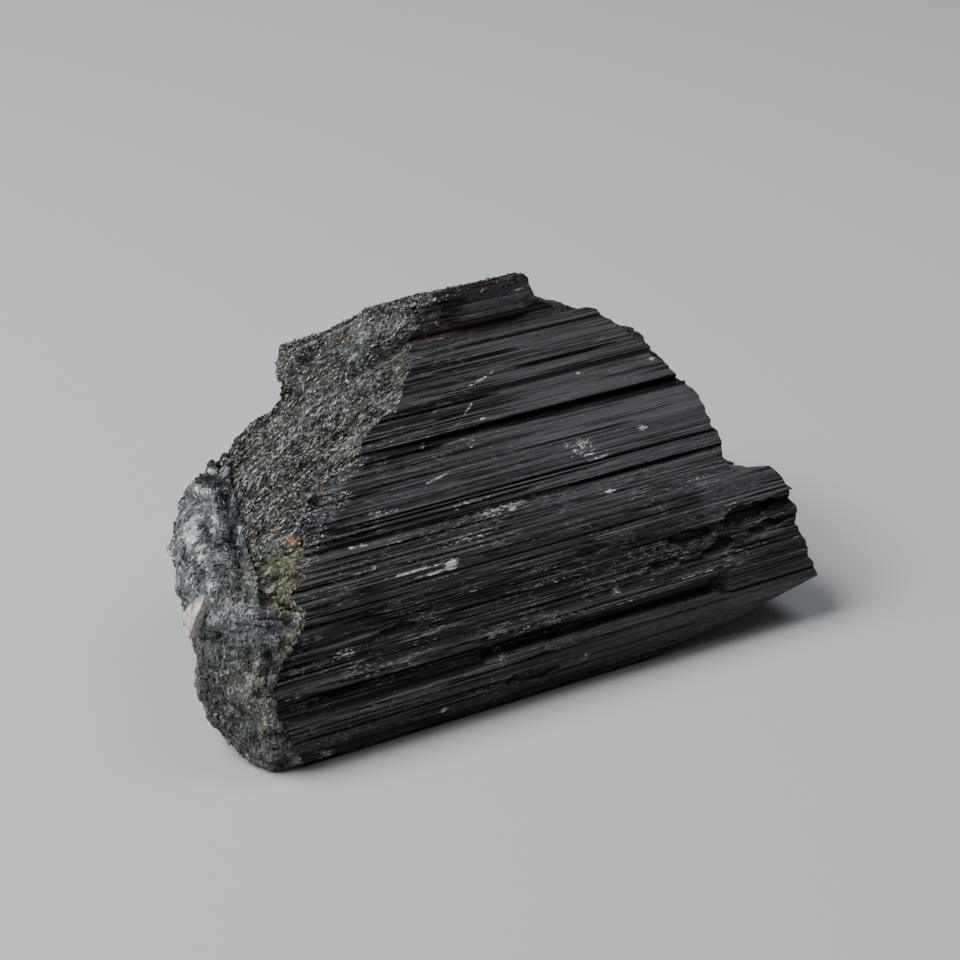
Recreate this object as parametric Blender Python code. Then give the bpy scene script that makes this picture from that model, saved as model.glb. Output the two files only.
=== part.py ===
"""Schorl (black tourmaline) crystal fragment with host rock on one end.

One broken prism lies on its flat side, c-axis along +X, with a ridge along its top,
long ledges on the striated front, a sugary slanting break at the left and a stepped
break at the right. A lump of mica and feldspar rock sits on the left end.
Sizes are in mm here and become metres when the meshes are made.
"""
import bpy
import bmesh
import numpy as np
from mathutils.geometry import delaunay_2d_cdt

MM = 0.001

# ---- driving dimensions (mm) ------------------------------------------------------------
LENGTH_MID = 27.2        # x of the middle of the whole stone, moved to the origin
DEPTH_MID = 18.65        # y of the middle of the whole stone, moved to the origin
CORE_Y = 29.0            # line inside the prism that its relief points away from
CORE_Z = 14.0
NET = 2.0                # spacing of the net of points over each broken end
NET_ROW = 17.65          # height of one row of the net, on the crease above the rock's seat
EDGE_BAND = 3.0          # width of the band in which an end runs on to its rim
CREST_TOP = 36.5         # height of the ridge crest
CREST_START = 35.0       # left of this x the ridge crest is broken down
CREST_SLOPE = 0.16       # fall of the broken crest per mm
UNDERCUT_START = 42.0    # right of this x the underside is chipped upwards
UNDERCUT_SLOPE = 0.24    # rise of the chipped underside per mm
SEAT_X = -4.5            # plane that the host rock grew on: x = SEAT_X + SEAT_SLOPE * y
SEAT_SLOPE = 0.33
BREAK_POINT = (25.4, 25.8, 31.3)    # a point on the slanting break
BREAK_RISE = 0.638                  # rise of the break per mm of x
BREAK_FALL = 0.212                  # fall of the break per mm of y
SWELL = 5.3                         # how far the break swells up below the back of the crest
BEAK_X = 13.6                       # left face of the beak at the back of the crest
BEAK_Y = 30.2                       # front face of the beak
BEAK_TOP = 31.3                     # height of the beak at its tip
BEAK_RISE = 0.12                    # rise of the beak's top per mm of x
BEAK_FOOT = 24.8                    # height under which the beak is undercut
CHIP_X = -0.6                       # left end of the chipped front bottom corner
CHIP_SLOPE = 1.2                    # how fast that chip runs back to the seat
SHEAR_POINT = (51.6, 34.0, 26.8)    # a point on the slanting cut over the right end
SHEAR_Y = 0.45                      # fall of that cut per mm of y
SHEAR_Z = 1.6                       # fall of that cut per mm of z
ROCK_GAP = 0.3                      # hairline between crystal and host rock
ROCK_CORE = (17.0, 9.0)             # (y, z) of the line inside the host rock

# Cross-section of the prism as (y, z), from the front bottom corner up the striated
# front, over the ridge, down the back faces and along the flat underside.
FRONT = [(0.0, 0.0), (-0.8, 2.5), (-1.1, 4.5), (-1.2, 6.5), (-0.2, 9.3), (2.5, 13.5), (5.0, 17.0),
         (8.5, 20.0), (12.0, 23.0), (15.5, 25.4), (20.0, 28.2), (24.5, 30.7), (27.0, 31.9), (27.5, 36.5)]
BACK = [(30.2, 35.5), (34.0, 32.0), (37.2, 25.0), (38.5, 14.0), (37.5, 5.0), (36.0, 0.0)]

# Ledges and grooves along the front: (distance up the front, relief outwards).
FRONT_RELIEF = [(0.0, 0.0), (5.4, 0.0), (5.6, 0.3), (6.3, 0.3), (6.7, -0.5), (9.0, -0.5), (9.3, 0.3),
                (10.2, 0.3), (10.4, -0.4), (14.3, -0.35), (14.9, 0.1), (22.7, 0.05), (22.9, -0.2),
                (23.3, -0.2), (23.4, 0.1), (24.8, 0.1), (24.95, -0.15), (25.2, 0.15), (31.6, 0.2),
                (31.9, -0.7), (32.6, -0.7), (32.8, 0.05), (36.5, -0.1), (36.8, 0.25), (44.2, 0.2),
                (44.7, -0.35), (45.3, -0.35), (45.7, 0.0), (50.0, 0.0)]

# Left edge of the prism at distances up the front and over the ridge.
LEFT_EDGE = [(0.0, -0.6), (2.6, -2.6), (4.6, -3.9), (6.6, -4.2), (9.6, -4.1), (14.0, -3.2), (17.0, -1.5),
             (18.2, 0.6), (21.0, 1.5), (24.0, 3.5), (26.5, 5.5), (28.5, 7.5), (31.0, 10.0), (32.0, 13.5),
             (35.0, 16.0), (38.0, 22.0), (42.0, 24.5), (44.5, 26.0), (46.5, 27.0), (50.2, 28.8)]

# Right edge of the prism at the same distances: tongue, main prism, ridge, back, underside.
RIGHT_EDGE = [(0.0, 63.7), (5.0, 63.7), (10.6, 62.3), (15.0, 63.0), (17.0, 62.5), (19.3, 61.0),
              (19.6, 56.0), (23.0, 56.2), (28.0, 56.3), (32.0, 55.5), (36.0, 53.5), (37.5, 52.6),
              (42.0, 50.6), (43.5, 50.2), (46.0, 44.5), (46.6, 43.4), (50.2, 41.8), (53.1, 41.8),
              (58.3, 42.4), (60.5, 44.4), (63.0, 48.6), (65.9, 52.4), (70.0, 54.5),
              (77.0, 55.5), (91.3, 56.0), (96.5, 56.5), (99.0, 61.5), (127.3, 63.7)]

# Outline of the host rock on its seat, as (y, z).
ROCK_RIM = [(0.5, 0.35), (-0.3, 4.5), (0.6, 9.0), (3.2, 13.0), (5.8, 16.4), (9.5, 19.0), (15.0, 18.2),
            (22.0, 18.4), (30.0, 18.5), (36.3, 18.3), (37.6, 13.5), (36.8, 6.0), (35.2, 0.35), (24.0, 0.35),
            (12.0, 0.35)]
# Thickness of the host rock over its seat at each y, and the share of it left at each height.
ROCK_DEPTH = [(-2.0, 1.6), (0.0, 3.4), (5.0, 6.8), (9.0, 7.6), (14.0, 7.1), (22.0, 7.9), (28.0, 7.8),
              (32.0, 6.8), (36.0, 3.6), (38.0, 1.5)]
ROCK_SHARE = [(0.0, 0.8), (3.0, 0.88), (8.0, 0.86), (14.0, 1.0), (20.0, 1.0)]


def table(rows, at):
    """Straight-line values between the rows of a (position, value) table."""
    rows = np.array(rows)
    return np.interp(at, rows[:, 0], rows[:, 1])


def outline_lengths(points):
    """Distance along a polyline at each of its points."""
    steps = np.hypot(*np.diff(np.array(points), axis=0).T)
    return np.concatenate([[0.0], np.cumsum(steps)])


def smooth(t):
    """Soft rise from 0 to 1 as t goes from 0 to 1."""
    t = np.clip(t, 0.0, 1.0)
    return t * t * (3.0 - 2.0 * t)


SECTION = FRONT + BACK + FRONT[:1]
SECTION_AT = outline_lengths(SECTION)
FRONT_LENGTH = SECTION_AT[len(FRONT) - 1]
PERIMETER = SECTION_AT[-1]


def around():
    """Stations round the cross-section: close on the front, wider on the back, one at every corner."""
    front = np.arange(0.0, FRONT_LENGTH, 1.05)
    back = np.arange(FRONT_LENGTH, PERIMETER, 2.2)
    corners = SECTION_AT[:-1]
    ledges = [at for at, _ in FRONT_RELIEF[1:-1]]
    step = [19.3, 19.6]
    stations = np.sort(np.concatenate([front, back, corners, ledges, step]))
    keep = np.concatenate([[True], np.diff(stations) > 0.09])
    return stations[keep]


def section_point(s):
    """(y, z) of the plain cross-section at distance s, and its (y, z) direction away from the core."""
    points = np.array(SECTION)
    y = np.interp(s, SECTION_AT, points[:, 0])
    z = np.interp(s, SECTION_AT, points[:, 1])
    away = np.hypot(y - CORE_Y, z - CORE_Z)
    return y, z, (y - CORE_Y) / away, (z - CORE_Z) / away


def relief(s):
    """Height of the ledges over the plain cross-section; the back has broad shallow flutes."""
    on_front = table(FRONT_RELIEF, s)
    t = (s - FRONT_LENGTH - 4.0) / 33.0
    flutes = 0.35 * np.sin(t * 40.0) * (t > 0.0) * (t < 1.0)
    return np.where(s <= FRONT_LENGTH, on_front, flutes)


def side_point(x, s):
    """Point of the prism's side at length x and distance s round the cross-section."""
    y, z, out_y, out_z = section_point(s)
    underside = UNDERCUT_SLOPE * np.maximum(x - UNDERCUT_START, 0.0)
    crest = CREST_TOP - CREST_SLOPE * np.maximum(CREST_START - x, 0.0)
    high = relief(s) * smooth((z - underside) / 1.5)
    y = y + out_y * high
    z = np.clip(z + out_z * high, underside, crest)
    return y, z


def sheet_height(x, y):
    """Height of the slanting break over (x, y), with its terraces and the swelling at the back."""
    px, py, pz = BREAK_POINT
    sheet = pz + BREAK_RISE * (x - px) - BREAK_FALL * (y - py)
    terraces = 0.25 * np.sin(0.9 * x + 0.5 * y) + 0.2 * np.sin(1.1 * y - 0.7 * x)
    return sheet + terraces + SWELL * smooth((y - 22.0) / 11.0) * smooth((x - 14.0) / 7.0)


def beak_height(x, y):
    """Height of the same break with the beak standing on it."""
    sheet = sheet_height(x, y)
    on_beak = smooth((x - BEAK_X) / 0.8) * smooth((y - BEAK_Y + 0.8) / 1.6)
    beak = BEAK_TOP + BEAK_RISE * (x - BEAK_X)
    return np.maximum(sheet, sheet + (beak - sheet) * on_beak)


def reached(height, y, z):
    """x where a surface that climbs with x first reaches height z."""
    steps = np.arange(-16.0, 44.0, 0.4)
    heights = np.maximum.accumulate(height(steps, y[..., None]), axis=-1)
    below = np.clip(np.sum(heights < z[..., None], axis=-1), 1, len(steps) - 1)
    low = np.take_along_axis(heights, below[..., None] - 1, axis=-1)[..., 0]
    high = np.take_along_axis(heights, below[..., None], axis=-1)[..., 0]
    share = np.clip((z - low) / np.maximum(high - low, 1e-6), 0.0, 1.0)
    return steps[below - 1] + 0.4 * share


def left_break(y, z):
    """x of the left end: the slanting break with its undercut beak, and the rock's upright seat."""
    y = np.asarray(y, dtype=float)
    z = np.asarray(z, dtype=float)
    plain = reached(sheet_height, y, z)
    beaked = reached(beak_height, y, z)
    x = plain + (beaked - plain) * smooth((z - BEAK_FOOT) / 2.4)
    return np.maximum(x, SEAT_X + SEAT_SLOPE * y)


def left_edge(s, y, z):
    """x of the rim of the left end, with the chipped front bottom corner."""
    behind = np.maximum(left_break(y, z), CHIP_X - CHIP_SLOPE * (y + z))
    return np.where(s < FRONT_LENGTH + 0.05, table(LEFT_EDGE, s), behind)


def right_break(y, z):
    """x of the right end: main prism, lower tongue at the front, sheared top, short ridge."""
    px, py, pz = SHEAR_POINT
    tongue = smooth((19.0 - 0.25 * y - z) / 2.0) * smooth((30.0 - y) / 2.0)
    pits = 0.6 * np.sin(0.7 * y + 0.3 * z) + 0.5 * np.sin(0.8 * z - 0.4 * y)
    shear = px - SHEAR_Y * (y - py) - SHEAR_Z * (z - pz)
    main = np.minimum(55.0 + 6.5 * tongue + pits, shear)
    return main - (main - 42.2) * smooth((z - 31.2) / 0.8)


def placed(x, y, z):
    """Rows of (x, y, z) in metres about the origin under the middle of the stone."""
    return np.stack(np.broadcast_arrays(x - LENGTH_MID, y - DEPTH_MID, z), axis=-1) * MM


def skin(mesh, rings):
    """Band of triangles through rings of points; gives back the vertices of the first and last ring."""
    made = [[mesh.verts.new(tuple(point)) for point in ring] for ring in rings]
    count = len(made[0])
    for lower, upper in zip(made[:-1], made[1:]):
        for i in range(count):
            j = (i + 1) % count
            mesh.faces.new((lower[i], lower[j], upper[j]))
            mesh.faces.new((lower[i], upper[j], upper[i]))
    return made[0], made[-1]


def close_end(mesh, rim, rim_x, rim_y, rim_z, core, face_x):
    """Close a ring with an even net of triangles; face_x(y, z, near, hold) is the x of the end there,
    near the x of the nearest bit of rim and hold how much of it counts, 1 on the rim to 0 inside."""
    core_y, core_z = core
    turn = np.arctan2(rim_z - core_z, rim_y - core_y)
    reach = np.hypot(rim_y - core_y, rim_z - core_z)
    order = np.argsort(turn)
    rows = NET_ROW + 0.87 * NET * np.arange(-12, 14)
    columns = NET * np.arange(-3, 22)
    y, z = np.meshgrid(columns, rows)
    y = y + 0.5 * NET * (np.arange(len(rows)) % 2)[:, None]
    y, z = y.ravel(), z.ravel()
    angle = np.arctan2(z - core_z, y - core_y)
    edge = np.interp(angle, turn[order], reach[order], period=2.0 * np.pi)
    inside = edge - np.hypot(y - core_y, z - core_z)
    keep = inside > 0.45 * NET
    y, z, angle, inside = y[keep], z[keep], angle[keep], inside[keep]
    near = np.interp(angle, turn[order], rim_x[order], period=2.0 * np.pi)
    hold = smooth(1.0 - inside / EDGE_BAND)
    x = face_x(y, z, near, hold)
    flat = [(float(a), float(b)) for a, b in zip(np.append(rim_y, y), np.append(rim_z, z))]
    net = delaunay_2d_cdt(flat, [], [list(range(len(rim)))], 1, 1e-5)
    verts = list(rim) + [mesh.verts.new(tuple(point)) for point in placed(x, y, z)]
    for face in net[2]:
        mesh.faces.new([verts[net[3][corner][0]] for corner in face])


def finished(mesh, name, colour, roughness):
    """Turn a closed mesh into the named piece with its own surface."""
    bmesh.ops.recalc_face_normals(mesh, faces=mesh.faces)
    data = bpy.data.meshes.new(name)
    mesh.to_mesh(data)
    mesh.free()
    thing = bpy.data.objects.new(name, data)
    bpy.context.scene.collection.objects.link(thing)
    surface = bpy.data.materials.new(name)
    surface.use_nodes = True
    shader = surface.node_tree.nodes["Principled BSDF"]
    shader.inputs["Base Color"].default_value = colour + (1.0,)
    shader.inputs["Roughness"].default_value = roughness
    shader.inputs["Metallic"].default_value = 0.0
    data.materials.append(surface)


def left_face(y, z, near, hold):
    """The left break eased on to its rim, never past the flat that the host rock sits on."""
    return np.maximum(hold * near + (1.0 - hold) * left_break(y, z), SEAT_X + SEAT_SLOPE * y)


def right_face(y, z, near, hold):
    """The right break eased on to its rim."""
    return hold * near + (1.0 - hold) * right_break(y, z)


def crystal():
    """The prism: its side from rim to rim, closed by the left break and the right break."""
    s = around()
    x_left = table(LEFT_EDGE, s)
    for _ in range(4):
        y_left, z_left = side_point(x_left, s)
        x_left = left_edge(s, y_left, z_left)
    x_right = table(RIGHT_EDGE, s)
    y_right, z_right = side_point(x_right, s)
    mesh = bmesh.new()
    rings = [placed(x_left, y_left, z_left)]
    for along in (0.1, 0.2, 0.32, 0.44, 0.56, 0.68, 0.79, 0.9):
        x = x_left + (x_right - x_left) * along
        rings.append(placed(x, *side_point(x, s)))
    rings.append(placed(x_right, y_right, z_right))
    left_rim, right_rim = skin(mesh, rings)
    core = (CORE_Y, CORE_Z)
    close_end(mesh, left_rim, x_left, y_left, z_left, core, left_face)
    close_end(mesh, right_rim, x_right, y_right, z_right, core, right_face)
    finished(mesh, "tourmaline_crystal", (0.008, 0.008, 0.009), 0.3)


def rock_seat(y):
    """x of the flat inner side of the host rock, a hairline off the crystal."""
    return SEAT_X + SEAT_SLOPE * y - ROCK_GAP


def rock_front(y, z):
    """x of the broken outer side of the host rock, with low lumps."""
    lumps = 0.35 * np.sin(0.9 * y + 0.7 * z) + 0.3 * np.sin(1.1 * z - 0.6 * y)
    return rock_seat(y) - table(ROCK_DEPTH, y) * table(ROCK_SHARE, z) - lumps


def seat_face(y, z, near, hold):
    """The host rock's inner side, flat right up to its rim."""
    return rock_seat(y)


def outer_face(y, z, near, hold):
    """The host rock's outer side eased on to its rim."""
    return hold * near + (1.0 - hold) * rock_front(y, z)


def host_rock():
    """The lump on the left end: a rounded pad, flat where it was seated on the crystal."""
    outline = np.array(ROCK_RIM + ROCK_RIM[:1])
    at = outline_lengths(outline)
    s = np.linspace(0.0, at[-1], 73)[:-1]
    y = np.interp(s, at, outline[:, 0])
    z = np.interp(s, at, outline[:, 1])
    core_y, core_z = ROCK_CORE
    rings = []
    for angle in np.radians((0.0, 10.0, 24.0, 40.0, 56.0)):
        ring_y = core_y + (y - core_y) * np.cos(angle) ** 0.4
        ring_z = np.maximum(core_z + (z - core_z) * np.cos(angle) ** 0.4, ROCK_RIM[0][1])
        share = np.sin(angle) ** 0.6
        x = rock_seat(ring_y) * (1.0 - share) + rock_front(ring_y, ring_z) * share
        rings.append(placed(x, ring_y, ring_z))
    mesh = bmesh.new()
    seat_rim, front_rim = skin(mesh, rings)
    close_end(mesh, seat_rim, rock_seat(y), y, z, ROCK_CORE, seat_face)
    close_end(mesh, front_rim, x, ring_y, ring_z, ROCK_CORE, outer_face)
    finished(mesh, "mica_matrix", (0.20, 0.21, 0.19), 0.7)


for old in list(bpy.data.objects):
    bpy.data.objects.remove(old)
crystal()
host_rock()
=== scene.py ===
"""Schorl crystal fragment with host rock on its left end, on a plain studio floor.

One broken black tourmaline prism lies on its flat side, its long axis along x, with a lump
of mica and feldspar rock grown on the left end. Shapes are worked out in mm from the front
bottom corner of the prism and become metres about the middle of the stone's footprint.
"""

import bpy
import numpy as np
from mathutils import Matrix
from mathutils.geometry import delaunay_2d_cdt


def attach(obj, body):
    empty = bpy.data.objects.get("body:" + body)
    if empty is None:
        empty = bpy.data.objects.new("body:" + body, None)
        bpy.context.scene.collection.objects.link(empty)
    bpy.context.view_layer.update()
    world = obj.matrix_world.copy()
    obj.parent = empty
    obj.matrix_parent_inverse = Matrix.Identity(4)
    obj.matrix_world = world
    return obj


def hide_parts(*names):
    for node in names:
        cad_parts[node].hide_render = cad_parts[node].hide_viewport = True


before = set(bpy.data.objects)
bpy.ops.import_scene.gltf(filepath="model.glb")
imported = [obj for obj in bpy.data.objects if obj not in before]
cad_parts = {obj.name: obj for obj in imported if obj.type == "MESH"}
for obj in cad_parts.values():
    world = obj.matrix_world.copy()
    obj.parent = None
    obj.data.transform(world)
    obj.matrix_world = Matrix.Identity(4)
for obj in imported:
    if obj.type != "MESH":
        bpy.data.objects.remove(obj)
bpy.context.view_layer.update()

# ---- The crystal: section and relief -------------------------------------------------------
# One prism of schorl, black iron tourmaline, grown in one piece. Its cross-section is carried
# along x; the front is stepped and finely striated along its length, the way schorl grows.

MM = 0.001
MIDDLE = np.array([27.2, 18.65, 0])      # middle of the footprint, which becomes the origin
CORE_Y, CORE_Z = 29, 14                  # line inside the prism that its relief points away from
CREST_TOP, CREST_START, CREST_SLOPE = 36.5, 35, 0.16
UNDERCUT_START, UNDERCUT_SLOPE = 42, 0.24
FOLDS = 600                              # facets drawn for the striae, more than the section needs

FRONT = [
    (0, 0), (-0.8, 2.5), (-1.1, 4.5), (-1.2, 6.5), (-0.2, 9.3), (2.5, 13.5), (5, 17), (8.5, 20), (12, 23),
    (15.5, 25.4), (20, 28.2), (24.5, 30.7), (27, 31.9), (27.5, 36.5)]
BACK = [(30.2, 35.5), (34, 32), (37.2, 25), (38.5, 14), (37.5, 5), (36, 0)]

# Ledges and grooves that run the whole length: (distance up the front, height outwards).
LONG_RELIEF = [
    (0, 0), (5.4, 0), (5.6, 0.3), (6.3, 0.3), (6.7, -0.5), (9, -0.5), (9.3, 0.3), (10.2, 0.3), (10.4, -0.4),
    (14.3, -0.35), (14.9, 0.1), (22.7, 0.05), (22.9, -0.2), (23.3, -0.2), (23.4, 0.1), (24.8, 0.1),
    (24.95, -0.15), (25.2, 0.15), (31.6, 0.2), (31.9, -0.25), (32.6, -0.25), (32.8, 0.05), (36.5, -0.1),
    (36.8, 0.25), (44.2, 0.2), (44.7, -0.35), (45.3, -0.35), (45.7, 0), (50, 0)]
# Shorter ones: (x from, x to, distance from, distance to, height at its foot, height at its top,
# length over which its ends fade).
SHORT_RELIEF = [
    (12, 72, 31.8, 32.7, -0.55, -0.55, 16), (22, 40, 40.6, 41.2, -0.4, 0, 5),
    (34, 51, 38.2, 38.8, -0.45, -0.1, 6), (26, 57, 24.8, 25.3, -0.3, -0.1, 8),
    (7, 44, 24.3, 24.8, -0.3, -0.1, 8), (34, 57, 22.7, 23.3, -0.35, -0.3, 7),
    (-2, 50.6, 9.2, 10.3, 0.3, 0.1, 0.7), (20, 50.6, 6.8, 9, -1, -0.7, 0.7),
    (51, 66, 6.6, 9.4, 0.5, 0.4, 0.8), (33, 66, 5.5, 6.3, 0.25, 0.1, 3), (-4, 12, 13, 16, -0.2, -0.5, 4),
    (31, 43.5, 46.4, 48.7, 0.9, 0, 3), (-2, 34, 20.2, 20.8, -0.3, 0, 9), (4, 46, 17, 17.5, -0.3, 0, 9),
    (12, 42, 12, 12.6, -0.35, 0, 9), (8, 50, 28.3, 28.7, -0.2, 0, 9), (26, 53, 42.5, 43, -0.3, 0, 6)]
# Sharp-rimmed hollows where splinters fell out: (x, distance, half length, half height, depth).
HOLLOWS = [
    (56.3, 14.3, 4.2, 1.5, 1.1), (61.2, 14.6, 2.8, 1.3, 1), (48.6, 13.6, 2.6, 1.1, 0.9),
    (51.8, 11.7, 2.6, 0.9, 0.9), (58.8, 12.4, 2.6, 0.7, 0.7), (44.2, 11.4, 2, 0.6, 0.5),
    (36, 15.4, 3, 0.6, 0.4), (26, 3.6, 3.4, 0.7, 0.4), (12, 12.6, 3, 0.8, 0.4)]
# How strongly the fine striae are cut at each distance up the front, at the left and at the right.
CUT_LEFT = [
    (0, 0.9), (9, 1), (12, 1.3), (16, 1), (24, 1), (26, 0.7), (31, 0.75), (36, 0.9), (44, 0.8), (47, 1),
    (49.5, 1.5), (60, 1.2)]
CUT_RIGHT = [
    (0, 0.5), (5, 0.3), (8.5, 0.3), (10, 1), (14, 1), (16, 0.7), (22, 0.55), (26, 0.2), (31, 0.18),
    (34, 0.2), (37, 0.2), (44, 0.3), (46.8, 0.45), (47.5, 0.3), (49, 0.3), (50.5, 1.2), (60, 1.2)]


def table(rows, at):
    """Straight-line values between the rows of a (position, value) table."""
    rows = np.array(rows)
    return np.interp(at, rows[:, 0], rows[:, 1])


def smooth(t):
    """Soft rise from 0 to 1 as t goes from 0 to 1: three times t squared less twice t cubed."""
    t = np.clip(t, 0, 1)
    return t * t * (3 - 2 * t)


def ramp(value, start, run):
    """Soft rise from 0 where value is start to 1 where it is start + run; run may be below 0."""
    return smooth((value - start) / run)


def dice(i, j, k, seed):
    """A number from 0 to 1 for each whole-number cell (i, j, k), from mixing its digits."""
    i, j, k = (np.asarray(part).astype(np.int64) for part in (i, j, k))
    mixed = (i * 73856093) ^ (j * 19349663) ^ (k * 83492791) ^ (seed * 2654435761)
    mixed = (mixed ^ (mixed >> 13)) * 1274126177
    mixed = (mixed ^ (mixed >> 16)) * 668265263
    return ((mixed >> 11) & 65535) / 65535


def waves(x, y, z, seed):
    """Smooth noise from -1 to 1, one unit across: the dice of the eight cell corners, eased between."""
    x, y, z = np.broadcast_arrays(x, y, z)
    i, j, k = np.floor(x), np.floor(y), np.floor(z)
    u, v, w = smooth(x - i), smooth(y - j), smooth(z - k)
    total = 0
    for a in (0, 1):
        for b in (0, 1):
            for c in (0, 1):
                share = (u if a else 1 - u) * (v if b else 1 - v) * (w if c else 1 - w)
                total = total + share * dice(i + a, j + b, k + c, seed)
    return 2 * total - 1


def along_outline(points):
    """Distance along an outline at each of its points."""
    steps = np.hypot(*np.diff(np.array(points), axis=0).T)
    return np.concatenate([[0], np.cumsum(steps)])


SECTION = FRONT + BACK + FRONT[:1]
SECTION_AT = along_outline(SECTION)
FRONT_LENGTH = SECTION_AT[len(FRONT) - 1]
PERIMETER = SECTION_AT[-1]
WALL_FROM, WALL_TO = SECTION_AT[len(FRONT) - 2], FRONT_LENGTH    # front wall of the ridge


def section_point(s):
    """(y, z) of the plain section at distance s and the direction its relief points: away from
    the core, but straight forwards on the upright wall of the ridge."""
    points = np.array(SECTION)
    y = np.interp(s, SECTION_AT, points[:, 0])
    z = np.interp(s, SECTION_AT, points[:, 1])
    away = np.hypot(y - CORE_Y, z - CORE_Z)
    out_y, out_z = (y - CORE_Y) / away, (z - CORE_Z) / away
    on_wall = ramp(s, WALL_FROM, 0.8) * ramp(s, WALL_TO + 0.4, -0.8)
    return y, z, out_y * (1 - on_wall) - on_wall, out_z * (1 - on_wall)


def cut_strength(x, s):
    """How deep the fine striae are: the left table for x under 24, the right one over 38."""
    share = ramp(x, 24, 14)
    return table(CUT_LEFT, s) * (1 - share) + table(CUT_RIGHT, s) * share


def growth_facets(x, s, seed, narrow, wide, height):
    """Flat strips between narrow and wide mm across that lie to and fro like a folded fan: height
    runs straight from one fold to the next, and each fold fades and swells slowly along x."""
    draw = np.random.default_rng(seed)
    folds = np.cumsum(narrow + (wide - narrow) * draw.random(FOLDS) ** 2)
    size = height * (0.35 + 0.65 * draw.random(FOLDS)) * np.where(np.arange(FOLDS) % 2, 1, -1)
    fold = np.clip(np.searchsorted(folds, s), 1, FOLDS - 2)
    share = (s - folds[fold - 1]) / (folds[fold] - folds[fold - 1])
    before = size[fold - 1] * (0.6 + 0.8 * waves(x / 15, 7 * (fold - 1), 0, seed))
    after = size[fold] * (0.6 + 0.8 * waves(x / 15, 7 * fold, 0, seed))
    return before + (after - before) * np.clip(share, 0, 1)


def creases(x, s, spacing, half_width, depth, seed):
    """Sharp grooves about spacing mm apart, one in each strip of that width, V-shaped across and
    deep where a slow wave along x is high, so that their ends run out to nothing."""
    strip = np.floor(s / spacing)
    middle = (strip + 0.25 + 0.5 * dice(strip, 0, 0, seed)) * spacing
    side = np.clip(1 - np.abs(s - middle) / half_width, 0, 1)
    run = waves(x / 11 + 40 * dice(strip, 1, 0, seed), 7 * strip, 0, seed + 1)
    return -depth * side * smooth(0.3 + 1.7 * run)


def striae(x, s):
    """Growth lines: flat facets that drift a little along x, with coarse and fine creases."""
    across = s + 2 + 0.08 * waves(x / 20, s / 6, 0, 11)
    facets = growth_facets(x, across, 12, 0.35, 1.6, 0.10)
    return facets + creases(x, across, 1.1, 0.2, 0.36, 13) + creases(x, across + 0.3, 0.5, 0.14, 0.14, 15)


def relief(x, s):
    """Height over the plain section: long ledges, short ledges with eased ends, hollows, striae."""
    height = np.where(s <= FRONT_LENGTH, table(LONG_RELIEF, s), 0)
    back = (s - FRONT_LENGTH - 4) / 33
    height = height + 0.35 * np.sin(back * 40) * (back > 0) * (back < 1)
    for x_from, x_to, s_from, s_to, foot, top, fade in SHORT_RELIEF:
        lengthways = ramp(x, x_from, fade) * ramp(x, x_to, -fade)
        rise = foot + (top - foot) * (s - s_from) / (s_to - s_from)
        height = height + rise * lengthways * ramp(s, s_from, 0.2) * ramp(s, s_to, -0.2)
    bent_x = x + 0.9 * waves(x / 1.6, s / 0.8, 0, 18)
    bent_s = s + 0.25 * waves(x / 1.2, s / 0.6, 0, 19)
    for x_mid, s_mid, length, width, depth in HOLLOWS:
        away = np.hypot((bent_x - x_mid) / length, (bent_s - s_mid) / width)
        height = height - depth * np.clip(2 - 2 * away ** 2, 0, 1)
    return height + cut_strength(x, s) * striae(x, s)


def side_point(x, s, fine=1):
    """Point of the prism's side at length x and distance s round the section."""
    y, z, out_y, out_z = section_point(s)
    underside = UNDERCUT_SLOPE * np.maximum(x - UNDERCUT_START, 0)
    crest = CREST_TOP - CREST_SLOPE * np.maximum(CREST_START - x, 0)
    high = fine * relief(x, s) * ramp(z, underside, 0.6)
    return y + out_y * high, np.clip(z + out_z * high, underside, crest)


# ---- The crystal: its two breaks -----------------------------------------------------------
# The left end broke along one slanting, sugary sheet with a beak under the ridge's end; below
# it is the flat seat of the host rock. The right end snapped off in steps, splinter by splinter.

SEAT_X, SEAT_SLOPE = -4.5, 0.33
BREAK_POINT, BREAK_RISE, BREAK_FALL, SWELL = (25.4, 25.8, 31.3), 0.638, 0.212, 5.3
BEAK_X, BEAK_Y, BEAK_TOP, BEAK_SLOPE, BEAK_FOOT = 13.6, 30.2, 31.3, 0.26, 24.8
# Rim of the chipped low front corner, as (height, x); behind it the chip slopes away.
CORNER_RIM = [
    (0, -0.6), (2.5, -2), (5.9, -3.2), (7.4, -4), (9.8, -4.1), (11.2, -2.6), (12.5, -1.8), (12.9, -0.7),
    (13.8, 0.3), (14.6, 1), (15.6, 1.5), (16.3, -1), (17, -4), (40, -9)]
CORNER_SLOPE = 1.2
CRUST_Y, CRUST_Z = 7.4, 17.6
SHEAR_POINT, SHEAR_Y, SHEAR_Z = (51.6, 34, 26.8), 0.45, 1.6
RIDGE_END, RIDGE_FOOT, MAIN_END, TONGUE_LENGTH = 42.2, 31.2, 55, 6.5

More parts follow.
